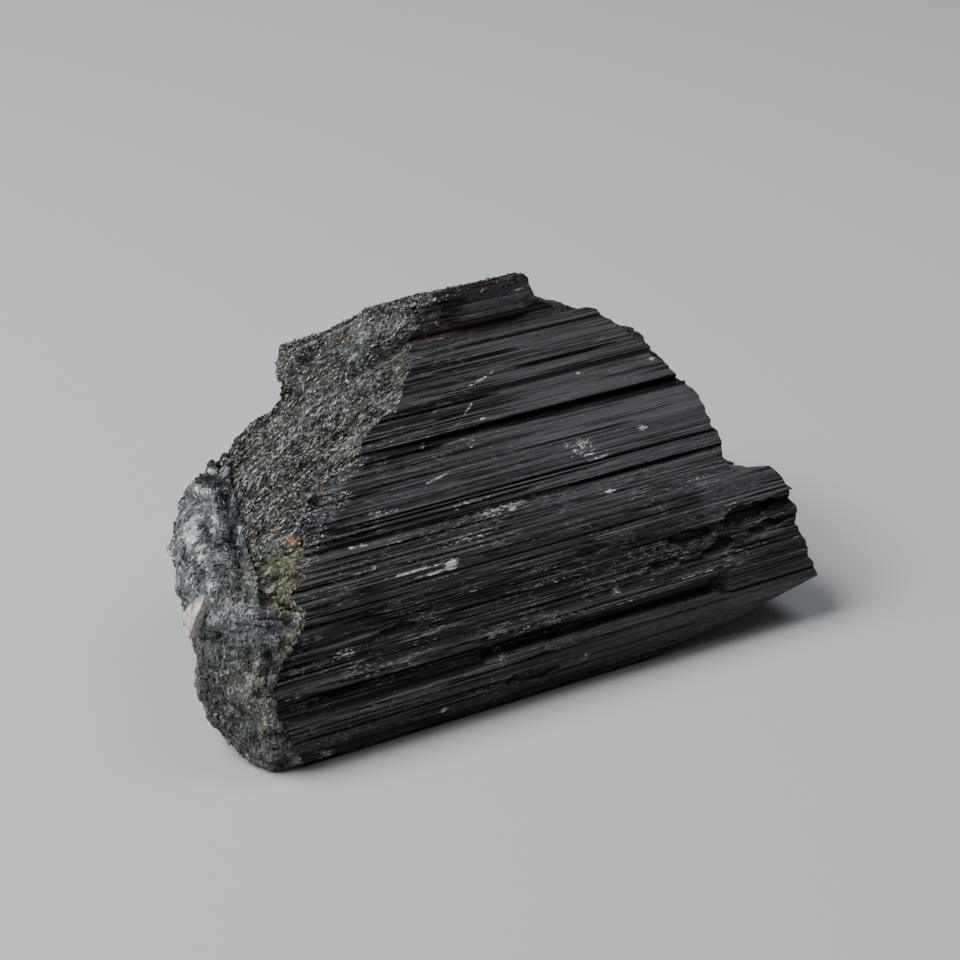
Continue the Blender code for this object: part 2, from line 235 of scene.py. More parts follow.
LEFT_EDGE = [
    (0, -0.6), (2.6, -2), (6.1, -3.2), (7.7, -4), (10.7, -4), (12.1, -2.6), (13.6, -1.8), (14, -0.7),
    (14.9, 0.3), (15.9, 1), (17.2, 1.7), (18.9, 1.9), (21, 2.4), (24, 4), (26.5, 5.5), (28.5, 7.5),
    (31, 10), (32, 13.5), (35, 16), (38, 22), (42, 24.5), (44.5, 26), (46.5, 27), (50.2, 28.8),
    (52.4, 25.7), (54.6, 24.8), (56.8, 22.2), (58.3, 16.7), (59, 14.4), (63.4, 14.1), (65.6, 16.2),
    (66, 16.5), (67.8, 15.3), (70, 13.3), (72.2, 9.8), (74.4, 8), (91.3, 7.4)]
RIGHT_EDGE = [
    (0, 63.7), (5, 63.7), (10.6, 62.3), (15, 63), (17, 62.5), (19.3, 61), (19.6, 56), (23, 56.2),
    (28, 56.3), (32, 55.5), (36, 53.5), (37.5, 52.6), (42, 50.6), (43.5, 50.2), (46, 44.5), (46.6, 43.4),
    (50.2, 41.8), (53.1, 41.8), (58.3, 42.4), (60.5, 44.4), (63, 48.6), (65.9, 52.4), (70, 54.5),
    (77, 55.5), (91.3, 56), (96.5, 56.5), (99, 61.5), (127.3, 63.7)]


def sheet_height(x, y):
    """Height of the slanting break over (x, y): a tilted plane, low terraces and a swelling behind."""
    px, py, pz = BREAK_POINT
    sheet = pz + BREAK_RISE * (x - px) - BREAK_FALL * (y - py)
    terraces = 0.25 * np.sin(0.9 * x + 0.5 * y) + 0.2 * np.sin(1.1 * y - 0.7 * x)
    return sheet + terraces + SWELL * ramp(y, 22, 11) * ramp(x, 14, 7)


def beak_height(x, y):
    """Height of the same break with the beak standing on it."""
    sheet = sheet_height(x, y)
    on_beak = ramp(x, BEAK_X, 0.8) * ramp(y, BEAK_Y - 2.8, 5.2)
    beak = BEAK_TOP + BEAK_SLOPE * (x - BEAK_X)
    return np.maximum(sheet, sheet + (beak - sheet) * on_beak)


def reached(height, y, z):
    """x where a surface that climbs with x first reaches height z."""
    step = 0.4
    steps = np.arange(-16, 44, step)
    heights = np.maximum.accumulate(height(steps, y[..., None]), axis=-1)
    below = np.clip(np.sum(heights < z[..., None], axis=-1), 1, len(steps) - 1)
    low = np.take_along_axis(heights, below[..., None] - 1, axis=-1)[..., 0]
    high = np.take_along_axis(heights, below[..., None], axis=-1)[..., 0]
    return steps[below - 1] + step * np.clip((z - low) / np.maximum(high - low, 1e-6), 0, 1)


def behind_front(y, z):
    """How far y lies behind the prism's front at height z."""
    front = np.array(FRONT)
    return y - np.interp(z, front[:, 1], front[:, 0])


def corner(y, z):
    """x of the chip off the low front corner: its rim less a slope for each mm behind the front."""
    return table(CORNER_RIM, z) - CORNER_SLOPE * behind_front(y, z)


def left_break(y, z):
    """x of the left end: the slanting break with its undercut beak, and the rock's upright seat."""
    plain = reached(sheet_height, y, z)
    beaked = reached(beak_height, y, z)
    x = plain + (beaked - plain) * ramp(z, BEAK_FOOT, 2.4)
    return np.maximum(x, SEAT_X + SEAT_SLOPE * y)


def sugar(y, z):
    """Roughness of the left break along x: low swells, furrows that run up the slope and grains."""
    wander = y + 0.8 * waves(y / 4, z / 4, 0, 20)
    furrows = 0.5 * waves(wander / 1.7, z / 6, 0, 28) + 0.55 * waves(wander / 0.85, z / 4, 0, 21)
    furrows = furrows + 0.25 * waves(wander / 0.45, z / 1.6, 0, 22)
    return 0.5 * waves(y / 3.4, z / 2.8, 0, 23) + furrows + 0.18 * waves(y / 0.6, z / 0.4, 0, 24)


def crust_ribs(y, z):
    """Height of the crust's flat pillows in an oval about CRUST_Y and CRUST_Z: the creases between them
    lie where noise drawn out along y crosses 0. A lens-shaped hole is taken out under the middle."""
    oval = smooth(2 - 2 * np.hypot((y - CRUST_Y) / 3.4, (z - CRUST_Z) / 2.9))
    ribs = smooth(np.abs(waves(y, z / 0.6, 0, 26)) / 0.3)
    ribs = ribs + 0.3 * waves(y / 0.6, z / 0.45, 0, 27) + 0.2 * waves(y / 0.35, z / 0.25, 0, 29)
    hole = smooth(1.6 - 1.6 * np.hypot((y - CRUST_Y + 0.9) / 1.3, (z - CRUST_Z + 0.9) / 0.4))
    return oval * ribs - 0.9 * hole


def on_terrace(y, z):
    """1 over the striated front part of the left break, which has a terrace."""
    return ramp(z, 20.5, 2) * ramp(y, 28, -2)


def left_face(y, z, near, inside):
    """The left break eased on to its rim over 3 mm, with a terrace that stands 0.7 mm proud
    along the striated front, never past the seat of the host rock but for the ribs of the crust."""
    hold = smooth(1 - inside / 3)
    terrace = -0.7 * smooth((3.2 + 0.8 * waves(y / 2, z / 2, 0, 25) - inside) / 0.5)
    rough = (terrace * on_terrace(y, z) + sugar(y, z)) * smooth(inside / 0.8)
    x = hold * near + (1 - hold) * left_break(y, z) + rough
    limit = np.maximum(SEAT_X + SEAT_SLOPE * y, corner(y, z))
    return np.maximum(x, limit) - 0.9 * crust_ribs(y, z) * smooth(inside / 0.5) * ramp(z, 15.4, 0.6)


def right_break(y, z):
    """x of the right end: main prism, lower tongue at the front, sheared top, short ridge."""
    px, py, pz = SHEAR_POINT
    tongue = smooth((19 - 0.25 * y - z) / 2) * ramp(y, 30, -2)
    pits = 0.6 * np.sin(0.7 * y + 0.3 * z) + 0.5 * np.sin(0.8 * z - 0.4 * y)
    shear = px - SHEAR_Y * (y - py) - SHEAR_Z * (z - pz)
    main = np.minimum(MAIN_END + TONGUE_LENGTH * tongue + pits, shear)
    return main - (main - RIDGE_END) * ramp(z, RIDGE_FOOT, 0.8)


def splinters(y, z):
    """Roughness of the right break along x: flat-topped splinters one to two mm across."""
    bend_y = y + 0.5 * waves(y / 1.5, z / 1.5, 0, 31)
    bend_z = z + 0.5 * waves(y / 1.5, z / 1.5, 0, 32)
    blocks = dice(np.floor(bend_y / 2.1), np.floor(bend_z / 1.4), 0, 33) - 0.5
    fibres = 0.6 * (dice(np.floor(bend_y / 0.7), np.floor(bend_z / 0.6), 0, 34) - 0.5)
    return blocks + fibres + 0.15 * waves(y / 0.5, z / 0.5, 0, 35)


def right_face(y, z, near, inside):
    """The right break eased on to its rim over 2.5 mm, splintered all over."""
    hold = smooth(1 - inside / 2.5)
    return hold * near + (1 - hold) * right_break(y, z) + splinters(y, z) * smooth(inside / 0.6) - 0.2


NETS_Y, NETS_Z = (-4, 42), (0.1, 38)     # what the nets that close the ends can cover


def from_rim(rim, core, y, z):
    """How far points (y, z) lie inside a ring, seen along x and measured from its core, and the ring's
    x on that side. rim is the ring's (x, y, z); the distance is below 0 outside the ring."""
    rim_x, rim_y, rim_z = rim
    core_y, core_z = core
    turn = np.arctan2(rim_z - core_z, rim_y - core_y)
    reach = np.hypot(rim_y - core_y, rim_z - core_z)
    order = np.argsort(turn)
    angle = np.arctan2(z - core_z, y - core_y)
    limit, near = (np.interp(angle, turn[order], row[order], period=2 * np.pi) for row in (reach, rim_x))
    return limit - np.hypot(y - core_y, z - core_z), near


def close_end(rim, first, next_free, core, net, face_x, outward):
    """Close a ring of points, rim = (x, y, z), with an even net = (spacing along y, spacing along z).
    The net's x comes from face_x(y, z, x of the nearest rim, distance inside the rim). Gives its points
    and triangles; the rim's corner numbers start at first, the net's own at next_free."""
    y, z = np.meshgrid(np.arange(*NETS_Y, net[0]), np.arange(*NETS_Z, net[1]))
    y = y + 0.5 * net[0] * (np.arange(len(y)) % 2)[:, None]
    y, z = y.ravel(), z.ravel()
    inside, near = from_rim(rim, core, y, z)
    keep = inside > 0.5 * min(net)
    y, z, near, inside = y[keep], z[keep], near[keep], inside[keep]
    flat = np.column_stack([np.append(rim[1], y), np.append(rim[2], z)]).tolist()
    around = len(rim[0])
    made = delaunay_2d_cdt(flat, [], [list(range(around))], 1, 1e-6)
    number = np.array([given[0] for given in made[3]])
    number = np.where(number < around, number + first, number - around + next_free)
    triangles = number[np.array(made[2])]
    points = np.column_stack([face_x(y, z, near, inside), y, z])
    return points, triangles if outward > 0 else triangles[:, ::-1]


def skin(rows, columns):
    """Triangles of a closed tube of rows rings with columns corners, two to each square."""
    r, c = np.meshgrid(np.arange(rows - 1), np.arange(columns), indexing="ij")
    here, beside = r * columns + c, r * columns + (c + 1) % columns
    lower = np.stack([here, here + columns, beside + columns], axis=-1).reshape(-1, 3)
    upper = np.stack([here, beside + columns, beside], axis=-1).reshape(-1, 3)
    return np.concatenate([lower, upper])


def piece(name, points, triangles, flat, **marks):
    """Mesh object from corners in mm and triangles. flat says which triangles are shaded flat, and
    each mark is a number per corner that the material can read under its name."""
    mesh = bpy.data.meshes.new(name)
    mesh.vertices.add(len(points))
    mesh.vertices.foreach_set("co", ((points - MIDDLE) * MM).ravel())
    mesh.loops.add(3 * len(triangles))
    mesh.loops.foreach_set("vertex_index", np.ascontiguousarray(triangles, dtype=np.int32).ravel())
    mesh.polygons.add(len(triangles))
    mesh.polygons.foreach_set("loop_start", np.arange(0, 3 * len(triangles), 3, dtype=np.int32))
    mesh.polygons.foreach_set("use_smooth", ~np.broadcast_to(flat, len(triangles)))
    mesh.update(calc_edges=True)
    for mark, values in marks.items():
        layer = mesh.attributes.new(mark, "FLOAT", "POINT")
        layer.data.foreach_set("value", np.ascontiguousarray(values, dtype=np.float32))
    thing = bpy.data.objects.new(name, mesh)
    bpy.context.scene.collection.objects.link(thing)
    return thing


def blotches(points, size, seed):
    """Smooth noise from -1 to 1 at points, with blotches of the given size in mm."""
    return waves(*(points.T / size), seed)


def blob(points, start, end, radius, seed):
    """1 within about radius of the line from start to end, 0 outside, with a ragged edge."""
    start, line = np.array(start), np.array(end) - np.array(start)
    share = np.clip((points - start) @ line / (line @ line + 1e-9), 0, 1)
    away = np.linalg.norm(points - start - share[:, None] * line, axis=1)
    ragged = 0.45 * blotches(points, 1.1, seed) + 0.3 * blotches(points, 0.45, seed + 1)
    return smooth(0.5 + 1.6 * (1 + ragged - away / radius))


# Coloured patches as (start, end, radius) in mm.
CRUST_PATCHES = [
    ((1.6, 9, 18.8), (0.2, 6.4, 16.6), 2.3), ((3.2, 9.4, 19.6), (2.2, 7, 18), 1.3),
    ((-6, 0.8, 6.6), (-5.2, 0.3, 6.2), 0.8)]
RUST_PATCHES = [((3.1, 11.6, 20.1), (4.1, 10, 20.7), 0.7)]
PALE_PATCHES = [
    ((-2.8, -0.8, 2.2), (-0.6, -0.4, 0.8), 1.5), ((13.7, 17.8, 25.2), (16.9, 20, 26.3), 0.8),
    ((15.7, 30.4, 29), (16.2, 30.3, 28.6), 0.8), ((22.6, 23, 29.2), (25, 26.4, 30.8), 0.8),
    ((-4.6, -0.4, 8.4), (-3.6, -0.6, 4.2), 0.7)]
DARK_PATCHES = [
    ((23.6, 28.1, 32.3), (20.9, 28.2, 30.5), 0.45), ((18.1, 31.8, 31.7), (15.2, 30.9, 30.1), 0.5),
    ((13.6, 23.3, 24.2), (14.8, 21.2, 25.3), 0.9), ((7.8, 12.6, 23), (6.4, 10.8, 21.6), 0.9)]


def patches(points, rows, seed):
    """The strongest of several blobs at each point."""
    return np.max([blob(points, *row, seed + 2 * i) for i, row in enumerate(rows)], axis=0)


# White bruises on the striated front; the long thin rows at distance 9 to 10 are a painted highlight along
# the lit rib over the low recess: (x, distance up the front, half length, half width, strength).
BRUISES_AND_RIB_HIGHLIGHTS = [
    (19.5, 18.2, 1, 0.6, 1.6), (15.2, 18.5, 3.6, 0.15, 1.5), (16.2, 17.75, 3, 0.15, 1.4),
    (18, 17, 1.9, 0.08, 1), (21, 14.7, 0.5, 0.2, 0.95), (39.2, 27.2, 2, 1.1, 0.75),
    (39.9, 26, 0.9, 0.25, 1.3), (41, 25.4, 1.6, 0.3, 0.7), (47.5, 27.5, 0.7, 0.45, 1),
    (27, 22.6, 3.4, 0.5, 0.7), (28.4, 22.2, 0.5, 0.2, 1.3), (24, 24.2, 3, 0.5, 0.6),
    (40.5, 21.3, 0.5, 0.2, 1.4), (51.5, 20, 1.8, 0.12, 0.9), (14.5, 22, 2.6, 0.12, 0.9),
    (22.5, 6.8, 0.8, 0.3, 0.8), (49.5, 9.9, 0.8, 0.2, 1), (30, 9.8, 6, 0.16, 0.7),
    (37.5, 10.4, 0.7, 0.35, 0.9), (1.5, 1.2, 1.4, 0.8, 0.8), (15.5, 2.4, 0.6, 0.35, 1.3),
    (33, 4, 0.9, 0.4, 0.8), (53, 35.5, 0.5, 0.3, 0.9), (43.5, 36, 0.5, 0.25, 1.1),
    (57.5, 12.4, 0.8, 0.2, 0.8), (10.5, 22.7, 2, 0.1, 1), (9, 15.5, 1.6, 0.12, 0.8),
    (30, 33.4, 0.5, 0.25, 1.1), (14, 25.5, 2.4, 0.4, 0.7), (22, 20.5, 6, 0.5, 0.6),
    (41.5, 48.6, 1.6, 0.5, 0.7), (47.5, 9.9, 4, 0.16, 0.9), (40, 9.2, 10, 0.2, 1.15),
    (55, 16.2, 3, 0.14, 0.8), (9, 19.8, 3, 0.5, 0.65), (30, 13, 4, 0.5, 0.55), (6, 12, 2.5, 0.5, 0.6)]
# Grey coat, partly dust and partly painted sheen on facets that would catch the light: (x from, x to,
# distance from, distance to, strength, length over which it fades).
DUST_AND_SHEEN = [
    (50.5, 68, 4.2, 9.2, 0.45, 1.5), (50, 64, 14.6, 20.5, 0.85, 1.5), (33, 46, 46.4, 50, 0.8, 1.5),
    (31, 45, 46.4, 47.8, 1, 2.5), (-6, 9, 12, 24, 0.4, 1.5), (-4, 16, 7, 10.5, 0.35, 1.5),
    (-6, 4, -1, 4, 0.4, 1.5), (8, 60, 14, 31, 0.28, 6)]
# Scratches across the striae: (x from, distance from, x to, distance to).
SCRATCHES = [
    (30, 37.5, 33.6, 38.6), (27, 33.5, 29.6, 35.6), (21.4, 31.6, 24, 34), (20, 27.4, 23, 28.1),
    (26, 28.8, 27.6, 31.2)]


def bruise_and_rib_light_marks(x, s):
    """How bruised white the front is, with a painted highlight along the rib over the low recess: ovals
    lying along the striae and thin slanting scratches.
    """
    grain = 0.45 * waves(x / 0.9, s / 0.35, 0, 41) + 0.3 * waves(x / 1.8, s / 0.3, 0, 42)
    worn = np.zeros(np.broadcast(x, s).shape)
    for x_mid, s_mid, length, width, strength in BRUISES_AND_RIB_HIGHLIGHTS:
        away = np.hypot((x - x_mid) / length, (s - s_mid) / np.maximum(width, 0.14))
        worn = np.maximum(worn, strength * smooth(1.3 - away + grain))
    for x_from, s_from, x_to, s_to in SCRATCHES:
        dx, ds = x_to - x_from, s_to - s_from
        share = np.clip(((x - x_from) * dx + (s - s_from) * ds) / (dx * dx + ds * ds), 0, 1)
        away = np.hypot(x - x_from - share * dx, s - s_from - share * ds)
        worn = np.maximum(worn, 0.9 * smooth(1 - away / 0.22 + grain))
    return worn


FINE, MEDIUM, COARSE = 0.12, 0.5, 1      # mm between stations on the front, the back and the underside
UNDERSIDE_FROM, RINGS = 91, 130          # where the underside starts, and rings of stations along x
RIDGE_TOP = (46.3, 64.5)                 # distances between which the ridge's left half is broken

front_stations = np.arange(0, FRONT_LENGTH, FINE)
back_stations = np.arange(FRONT_LENGTH, UNDERSIDE_FROM, MEDIUM)
under_stations = np.arange(UNDERSIDE_FROM, PERIMETER, COARSE)
stations = np.concatenate([front_stations, back_stations, under_stations])

# Past the table's end the left rim lies on the break itself; four rounds settle where they meet.
x_left = table(LEFT_EDGE, stations)
for _ in range(4):
    y_left, z_left = side_point(x_left, stations)
    behind = np.maximum(left_break(y_left, z_left), corner(y_left, z_left))
    x_left = np.where(stations < LEFT_EDGE[-1][0], table(LEFT_EDGE, stations), behind)
ragged = 0.4 * waves(stations / 0.7, 0, 0, 51) + 0.4 * (dice(np.floor(stations / 0.55), 0, 0, 52) - 0.5)
ragged = ragged * np.where((stations > 46) & (stations < 75), 0.4, 1)
low_rim = ramp(stations, 17, 1) * (stations < 31)
ragged = ragged + 0.9 * waves(stations / 1.1, 0, 0, 50) * low_rim
x_left = np.maximum(x_left + ragged * ramp(z_left, 10, 8), SEAT_X + SEAT_SLOPE * y_left)
x_right = table(RIGHT_EDGE, stations)
x_right = x_right + 0.35 * (waves(stations / 0.8, 0, 0, 53) - 0.4) * ramp(x_right, 63.6, -1)

share = np.linspace(0, 1, RINGS)[:, None]
x_side = x_left + (x_right - x_left) * share
s_side = np.broadcast_to(stations, x_side.shape)
y_side, z_side = side_point(x_side, s_side)
rings = np.stack([x_side, y_side, z_side])
side = rings.reshape(3, -1).T

left_net, left_faces = close_end(
    rings[:, 0], 0, len(side), (CORE_Y, CORE_Z), (0.32, 0.18), left_face, -1)
right_net, right_faces = close_end(
    rings[:, -1], len(side) - len(stations), len(side) + len(left_net), (CORE_Y, CORE_Z), (0.42, 0.38),
    right_face, 1)
crystal_points = np.concatenate([side, left_net, right_net])
side_faces = skin(RINGS, len(stations))
crystal_faces = np.concatenate([side_faces, left_faces, right_faces])

# What the materials read: how far each point lies under or over the mean of the nine points about it
# up the front, which paints shade into its grooves and highlights, partly edge wear, on its raised rims;
# where the ridge is broken or brown; where the front has grey dust, painted sheen or painted shade;
# and where it is torn or bruised.
on_front = s_side < FRONT_LENGTH
high = relief(x_side, s_side)
widened = np.pad(high, ((0, 0), (4, 4)), mode="edge")
around_it = np.apply_along_axis(np.convolve, 1, widened, np.ones(9) / 9, "valid")
# Painted shade: points below the mean of their neighbours, which the material paints near black.
sunk = np.clip((around_it - high) / 0.18, 0, 0.85) * on_front
# Painted highlight, partly edge wear: points above the mean of their neighbours, which the material paints
# lighter.
proud = np.clip((high - around_it) / 0.10, 0, 1) * on_front

wander = 1.5 * waves(x_side / 2, s_side / 1.2, 0, 54)
granular = smooth((31 + wander - x_side) / 1.2) * (s_side > RIDGE_TOP[0]) * (s_side < RIDGE_TOP[1] + wander)
crest = ramp(s_side, 48.9, 0.4) * smooth((55 + 2 * wander - s_side) / 4) * (x_side < 44)
crest = crest * smooth(0.7 + 1.1 * waves(x_side / 3.5, s_side / 1.4, 0, 49))
dusty = np.max([strength * ramp(x_side, x_from, fade) * ramp(x_side, x_to, -fade)
                * ramp(s_side, s_from, fade / 3) * ramp(s_side, s_to, -fade / 3)
                for x_from, x_to, s_from, s_to, strength, fade in DUST_AND_SHEEN], axis=0)
# Painted shade: the low left of the front is taken below zero, which the material paints near black.
dusty = dusty - 0.9 * ramp(s_side, 16, -5) * ramp(x_side, 40, -14) * on_front
torn_wide = 0.8 + 3.4 * ramp(s_side, 34, -4)
torn = smooth((torn_wide + wander - (x_side - x_left)) / 2) * ramp(s_side, 21, 1.5) * (s_side < 46)
brown = ramp(s_side, 44.2, 0.5) * ramp(s_side, 46.9, -0.5) * ramp(x_side, 42, -6)
brown = np.maximum(brown, 0.6 * crest * ramp(x_side, 28.5, 2))


def with_ends(values, at_ends=0):
    """A mark of the side's points, followed by one value for every point of the two ends."""
    return np.append(values.ravel(), np.full(len(left_net) + len(right_net), at_ends))


broken, torn_off = with_ends(granular, 1), with_ends(torn)


def terrace_shade(points):
    """How dim the left break's terrace is, and the crease behind it, which lies 6 mm behind the front."""
    x, y, z = points.T
    beyond = behind_front(y, z) - 6 - 1.5 * waves(y / 2, z / 2, 0, 25)
    shade = 0.1 * smooth(0.5 - beyond / 1.5) + 0.45 * smooth(1.2 - np.abs(beyond) / 0.6)
    return shade * on_terrace(y, z)


def streaks_and_beak_light(points):
    """Lighter and darker bands of the left break, 5 mm long up its slope and under 1 mm wide, less its
    dark patches, and painted light under the beak, where its overhang would be in shade."""
    x, y, z = points.T
    up, out = 0.84 * x + 0.54 * z, 0.84 * z - 0.54 * x
    light = 0.22 * waves(up / 5, y / 0.8, out / 0.8, 58) + 0.12 * waves(up / 2, y / 0.4, out / 0.4, 59)
    # Painted light under the beak, where its overhang would be in shade.
    light = light + 0.3 * ramp(y, 26.5, 3) * ramp(z, 23, 3) * ramp(x, 28, -5)
    return light - 0.5 * patches(points, DARK_PATCHES, 86)


def rocky(points):
    """Where the crystal's end is coated with grains of the host rock: its low front corner."""
    edge = 0.8 * blotches(points, 1.5, 57)
    return smooth(13.4 + edge - points[:, 1]) * smooth((20.2 + 0.5 * edge - points[:, 2]) / 0.8)


def stains(points):
    """The coloured patches of the breaks, each as a mark that the materials read."""
    return dict(crust=patches(points, CRUST_PATCHES, 60), rust=patches(points, RUST_PATCHES, 70),
                pale=patches(points, PALE_PATCHES, 80), rocky=rocky(points))


x, y, z = crystal_points.T
stained = stains(crystal_points)
tone = 0.45 + 0.3 * blotches(crystal_points, 2.6, 55) + 0.25 * blotches(crystal_points, 0.7, 56)
# Darker on the right break; painted shade on the terrace; painted light under the beak.
tone = tone - 0.4 * ramp(x, 38, 3) - terrace_shade(crystal_points) + streaks_and_beak_light(crystal_points)
# Painted shade in the creases between the crust's pillows, which are painted a little lighter.
tone = tone + stained["crust"] * (x < 6) * (0.15 - 0.9 * smooth((0.75 - crust_ribs(y, z)) / 0.6))
crystal = piece(
    "schorl_crystal", crystal_points, crystal_faces, True, tone=tone, broken=broken,
    cut=with_ends(cut_strength(x_side, s_side)), brown=with_ends(brown), sunk=with_ends(sunk),
    worn=with_ends(np.maximum(bruise_and_rib_light_marks(x_side, s_side), 0.45 * torn) * on_front),
    dusty=with_ends(np.maximum(dusty, 0.75 * torn)), proud=with_ends(proud), **stained)


def linear(colour):
    """Linear colour for a shader from an sRGB hex value: divided by 12.92 if it is dark, else raised
    to the power 2.4."""
    parts = [int(colour[i:i + 2], 16) / 255 for i in (1, 3, 5)]
    return tuple(p / 12.92 if p <= 0.04045 else ((p + 0.055) / 1.055) ** 2.4 for p in parts) + (1,)


def feed(tree, node, inputs):
    """Give a node's inputs values, or join them to sockets."""
    for socket, value in inputs.items():
        if isinstance(value, bpy.types.NodeSocket):
            tree.links.new(value, node.inputs[socket])
        else:
            node.inputs[socket].default_value = value


def add(tree, kind, *inputs, out=0, **settings):
    """Add a node to a tree with its own settings, and give its inputs values or sockets in their
    order, with None for one that is left alone. Gives the output that out names."""
    node = tree.nodes.new("ShaderNode" + kind)
    for setting, value in settings.items():
        setattr(node, setting, value)
    feed(tree, node, {i: value for i, value in enumerate(inputs) if value is not None})
    return node.outputs[out]


def grown(tree, x_size, y_size, z_size, detail, roughness=0.55):
    """Noise on the object's own place whose blotches are about so many mm long along x, y and z."""
    scale = (1 / (x_size * MM), 1 / (y_size * MM), 1 / (z_size * MM))
    scaled = add(tree, "Mapping", add(tree, "TexCoord", out="Object"), None, None, scale)
    return add(tree, "TexNoise", scaled, None, 1, detail, roughness)


def product(tree, *shares):
    """Shares multiplied together, kept from 0 to 1."""
    total = shares[0]
    for share in shares[1:]:
        total = add(tree, "Math", total, share, operation="MULTIPLY", use_clamp=True)
    return total


def toned(tree, tone, stops, colours):
    """Colour that runs from each of the colours to the next as tone passes from stop to stop."""
    colour = linear(colours[0])
    for i in range(1, len(stops)):
        share = add(tree, "MapRange", tone, stops[i - 1], stops[i])
        colour = add(tree, "MixRGB", share, colour, linear(colours[i]))
    return colour


def surface(name):
    """A new material with one Principled shader; gives the material, its tree and the shader."""
    material = bpy.data.materials.new(name)
    material.use_nodes = True
    return material, material.node_tree, material.node_tree.nodes["Principled BSDF"]


# Schorl, natural prism face: black glass-like iron tourmaline, index about 1.64, its gloss dulled
# by fine etching. Growth lines a quarter of a mm across break it into long thin glints; bruises and
# split fibres look white. Painted into its colour: shade in its grooves and creases and over the low
# left of the front, highlights on its raised rims and along the rib over the low recess, and sheen in
# its grey dust coat.
striated, tree, shader = surface("striated schorl")
lines = grown(tree, 34, 0.62, 0.62, 2)
hairs = grown(tree, 7, 0.28, 0.28, 3)
curls = grown(tree, 2, 1.1, 1.1, 2)
ticks = grown(tree, 0.9, 0.16, 0.16, 2)
specks = grown(tree, 0.28, 0.24, 0.24, 1)
mottle = grown(tree, 0.7, 0.3, 0.3, 3, 0.7)
zones = grown(tree, 6, 2, 2, 2)
scuffs = grown(tree, 0.5, 0.15, 0.15, 3, 0.75)
worn_mark, cut_mark, sunk_mark, proud_mark, dusty_mark, brown_mark = (
    add(tree, "Attribute", out="Fac", attribute_name=name)
    for name in ("worn", "cut", "sunk", "proud", "dusty", "brown"))
line_side, curl_side = (
    add(tree, "Math", add(tree, "Math", noise, 0.5, operation="SUBTRACT"), operation="ABSOLUTE")
    for noise in (lines, curls))
crease = add(tree, "MapRange", line_side, 0.02, 0.05)
# Grey coat of dust, and painted sheen where facets would catch the light.
dust_and_sheen_film = product(tree, dusty_mark, add(tree, "MapRange", mottle, 0.35, 0.65, 0.35, 1))
# Painted highlight on the raised rims, partly edge wear.
rim_highlight_and_wear = product(tree, proud_mark, cut_mark, add(tree, "MapRange", hairs, 0.42, 0.62))
# Painted shade over the low left of the front.
painted_low_shade = add(tree, "MapRange", dusty_mark, 0, -1)
# Painted shade in the fine creases that the bump cuts.
painted_crease_shade = product(tree, add(tree, "MapRange", crease, 1, 0), cut_mark)
red = product(tree, brown_mark, add(tree, "MapRange", mottle, 0.3, 0.7, 0.4, 1))
glint = product(tree, add(tree, "MapRange", ticks, 0.62, 0.68), add(tree, "MapRange", zones, 0.42, 0.58),
                cut_mark)
glint = add(tree, "Math", glint, add(tree, "MapRange", specks, 0.76, 0.80), operation="MAXIMUM")
curl = product(tree, add(tree, "MapRange", curl_side, 0.02, 0.05, 1, 0),
               add(tree, "MapRange", zones, 0.54, 0.62), add(tree, "MapRange", scuffs, 0.45, 0.6), cut_mark)
# White bruises and scratches, with the painted highlight along the rib over the low recess.
scuffs_and_rib_highlight = add(tree, "Math", worn_mark, 0.22, scuffs, operation="MULTIPLY_ADD")
scuffs_and_rib_highlight = product(tree, add(tree, "MapRange", scuffs_and_rib_highlight, 0.66, 0.74),
                  add(tree, "MapRange", worn_mark, 0.05, 0.3))
face = toned(tree, hairs, (0.44, 0.56), ("#0b0b0d", "#1e1e21"))
for share, colour in ((dust_and_sheen_film, "#5d5f63"), (rim_highlight_and_wear, "#4a4a4b"), (painted_low_shade, "#020203"), (painted_crease_shade, "#050506"),
                      (sunk_mark, "#020203"), (red, "#381512"), (glint, "#858789"), (curl, "#6b6d70"),
                      (scuffs_and_rib_highlight, "#c6c8ca")):
    face = add(tree, "MixRGB", share, face, linear(colour))
rough = add(tree, "MapRange", hairs, 0.3, 0.7, 0.24, 0.36)
rough = add(tree, "Math", scuffs_and_rib_highlight, 0.3, rough, operation="MULTIPLY_ADD")
rough = add(tree, "Math", sunk_mark, 0.5, rough, operation="MULTIPLY_ADD")
crease_cut = add(tree, "Bump", cut_mark, 0.07 * MM, 0.1, crease)
hair_cut = add(tree, "Bump", cut_mark, 0.06 * MM, 0.1, hairs, crease_cut)
feed(tree, shader, {"Base Color": face, "Roughness": rough, "Normal": hair_cut, "IOR": 1.64,
                    "Specular IOR Level": 0.27})


def break_colours(tree, tone):
    """Colour of the broken schorl for a tone from 0 to 1: grey dust, cooler high up, with brown and
    greenish stains, then the marked patches."""
    height = add(tree, "SeparateXYZ", add(tree, "TexCoord", out="Object"), out="Z")
    coats = [(add(tree, "MapRange", height, 24 * MM, 32 * MM, 0, 0.4), "#20262a", "#85898b")]
    for across, dark, light in ((3.5, "#17120d", "#7b6652"), (2.6, "#141a1a", "#75807c")):
        stain = grown(tree, across, across, across, 3)
        coats.append((add(tree, "MapRange", stain, 0.54, 0.68, 0, 0.6), dark, light))
    for patch, dark, light in (("brown", "#0c0606", "#362522"), ("rocky", "#2a2d28", "#7b7e72"),
                               ("crust", "#31322b", "#a3a289"), ("rust", "#9c785c", "#dcb997"),
                               ("pale", "#50504b", "#77766f")):
        coats.append((add(tree, "Attribute", out="Fac", attribute_name=patch), dark, light))
    colour = toned(tree, tone, (0, 0.65, 1.1), ("#1a1b19", "#4f5049", "#b3b3ae"))
    for share, dark, light in coats:
        colour = add(tree, "MixRGB", share, colour, toned(tree, tone, (0, 0.9), (dark, light)))
    return colour


